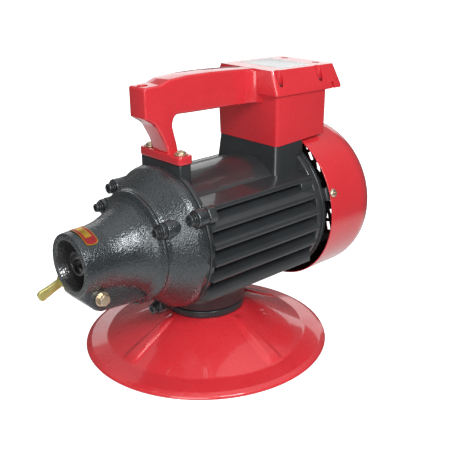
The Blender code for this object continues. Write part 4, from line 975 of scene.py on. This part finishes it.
def hook():
    """Bent wire that hangs under the lowest fin on the near side."""
    front, rear, top, low, wire = 3.6, 10.4, 82.0, 72.5, 1.6
    outline = [(front, top), (front, low, 2.4), (rear, low, 2.4), (rear, top), (rear - wire, top),
               (rear - wire, low + wire, 1.2), (front + wire, low + wire, 1.2), (front + wire, top)]
    bent = slab(outline, 57.2, 58.8, "X", 0.5)
    piece("hook_wire", bent, "motor", "bright_steel", ("wire_hook",))


dish()
swivel()
stator()
bell()
nose()
cowl()
shield()
lower_handle()
upper_handle()
front_and_rear_bolts()
cross_screws()
lock()
dog()
label()
sticker()
hook()


# ---- stage --------------------------------------------------------------------------
def floor():
    """Pale floor that sweeps up into a wall all round, well outside the lamps."""
    sweep = filleted([(0.0, 0.0), (12.0, 0.0, 4.0), (16.0, 4.0, 4.0), (16.0, 16.0)], False)
    steps = 72
    hair = 0.0004              # metres under the dish, so that the two don't touch
    bm = bmesh.new()
    centre = bm.verts.new((0.0, 0.0, 0.0))
    rows = []
    for k in range(steps):
        turn = 2 * math.pi * k / steps
        rows.append([bm.verts.new((r * math.cos(turn), r * math.sin(turn), z)) for r, z in sweep[1:]])
    for row, following in zip(rows, rows[1:] + rows[:1]):
        bm.faces.new((centre, row[0], following[0]))
        for i in range(len(row) - 1):
            bm.faces.new((row[i], row[i + 1], following[i + 1], following[i]))
    mesh = bpy.data.meshes.new("floor")
    bm.to_mesh(mesh)
    bm.free()
    plane = add_object("floor", mesh)
    plane.location.z = -hair
    plane.visible_glossy = False
    plane.visible_diffuse = False
    plane.visible_shadow = False
    n = Nodes("pale_floor")
    tone = n.ramp(n.noise(2.0, 2.0), [(0.3, (0.86, 0.86, 0.86)), (0.7, (0.90, 0.90, 0.90))])
    n.shader.inputs["Emission Color"].default_value = (1.0, 1.0, 1.0, 1.0)
    n.shader.inputs["Emission Strength"].default_value = 1.0
    plane.data.materials.append(n.set(colour=tone, rough=0.9))


def lamp(name, place, target, size, power):
    light = bpy.data.lights.new(name, "AREA")
    light.shape = "RECTANGLE"
    light.size, light.size_y = size
    light.energy = power
    holder = add_object(name, light)
    holder.location = place
    holder.rotation_euler = (Vector(target) - Vector(place)).to_track_quat("-Z", "Y").to_euler()


def studio():
    """Three soft lamps, and a room that is bright overhead and underfoot and dim all round."""
    world = bpy.data.worlds.new("studio")
    bpy.context.scene.world = world
    bpy.context.scene.view_settings.view_transform = "Standard"
    world.use_nodes = True
    tree = world.node_tree
    where = tree.nodes.new("ShaderNodeTexCoord")
    direction = tree.nodes.new("ShaderNodeSeparateXYZ")
    tree.links.new(where.outputs["Generated"], direction.inputs["Vector"])
    upward = tree.nodes.new("ShaderNodeMapRange")        # 0 straight down, 1 straight up
    upward.inputs["From Min"].default_value = -1.0
    tree.links.new(direction.outputs["Z"], upward.inputs["Value"])
    sky = tree.nodes.new("ShaderNodeValToRGB")
    tree.links.new(upward.outputs["Result"], sky.inputs["Fac"])
    greys = [(0.0, 1.4), (0.26, 1.1), (0.32, 0.16), (0.66, 0.18), (0.80, 0.30), (0.92, 0.9), (1.0, 1.3)]
    fill_ramp(sky.color_ramp, [(place, (grey, grey, grey)) for place, grey in greys])
    tree.links.new(sky.outputs["Color"], tree.nodes["Background"].inputs["Color"])
    tree.nodes["Background"].inputs["Strength"].default_value = 0.65
    motor = (0.0, 0.0, 0.12)
    handle = (0.0, 0.0, 0.2)
    lamp("key", (1.35, -0.4, 1.3), motor, (0.6, 0.6), 24.0)
    lamp("fill", (1.2, -1.7, 0.6), motor, (1.2, 1.2), 18.0)
    lamp("back", (-1.7, 1.6, 0.9), handle, (2.6, 1.0), 9.0)


def camera():
    """The photograph's viewpoint, in the frame's coordinates."""
    data = bpy.data.cameras.new("camera")
    data.lens = 61.42
    data.sensor_width = 36.0
    data.clip_start = 0.01
    holder = add_object("camera", data)
    holder.location = (0.5537, -0.45848 + SWIVEL_Y * MM, 0.3971)
    holder.rotation_euler = (1.2059, 0.0164, 0.8424)
    bpy.context.scene.camera = holder


floor()
studio()
camera()
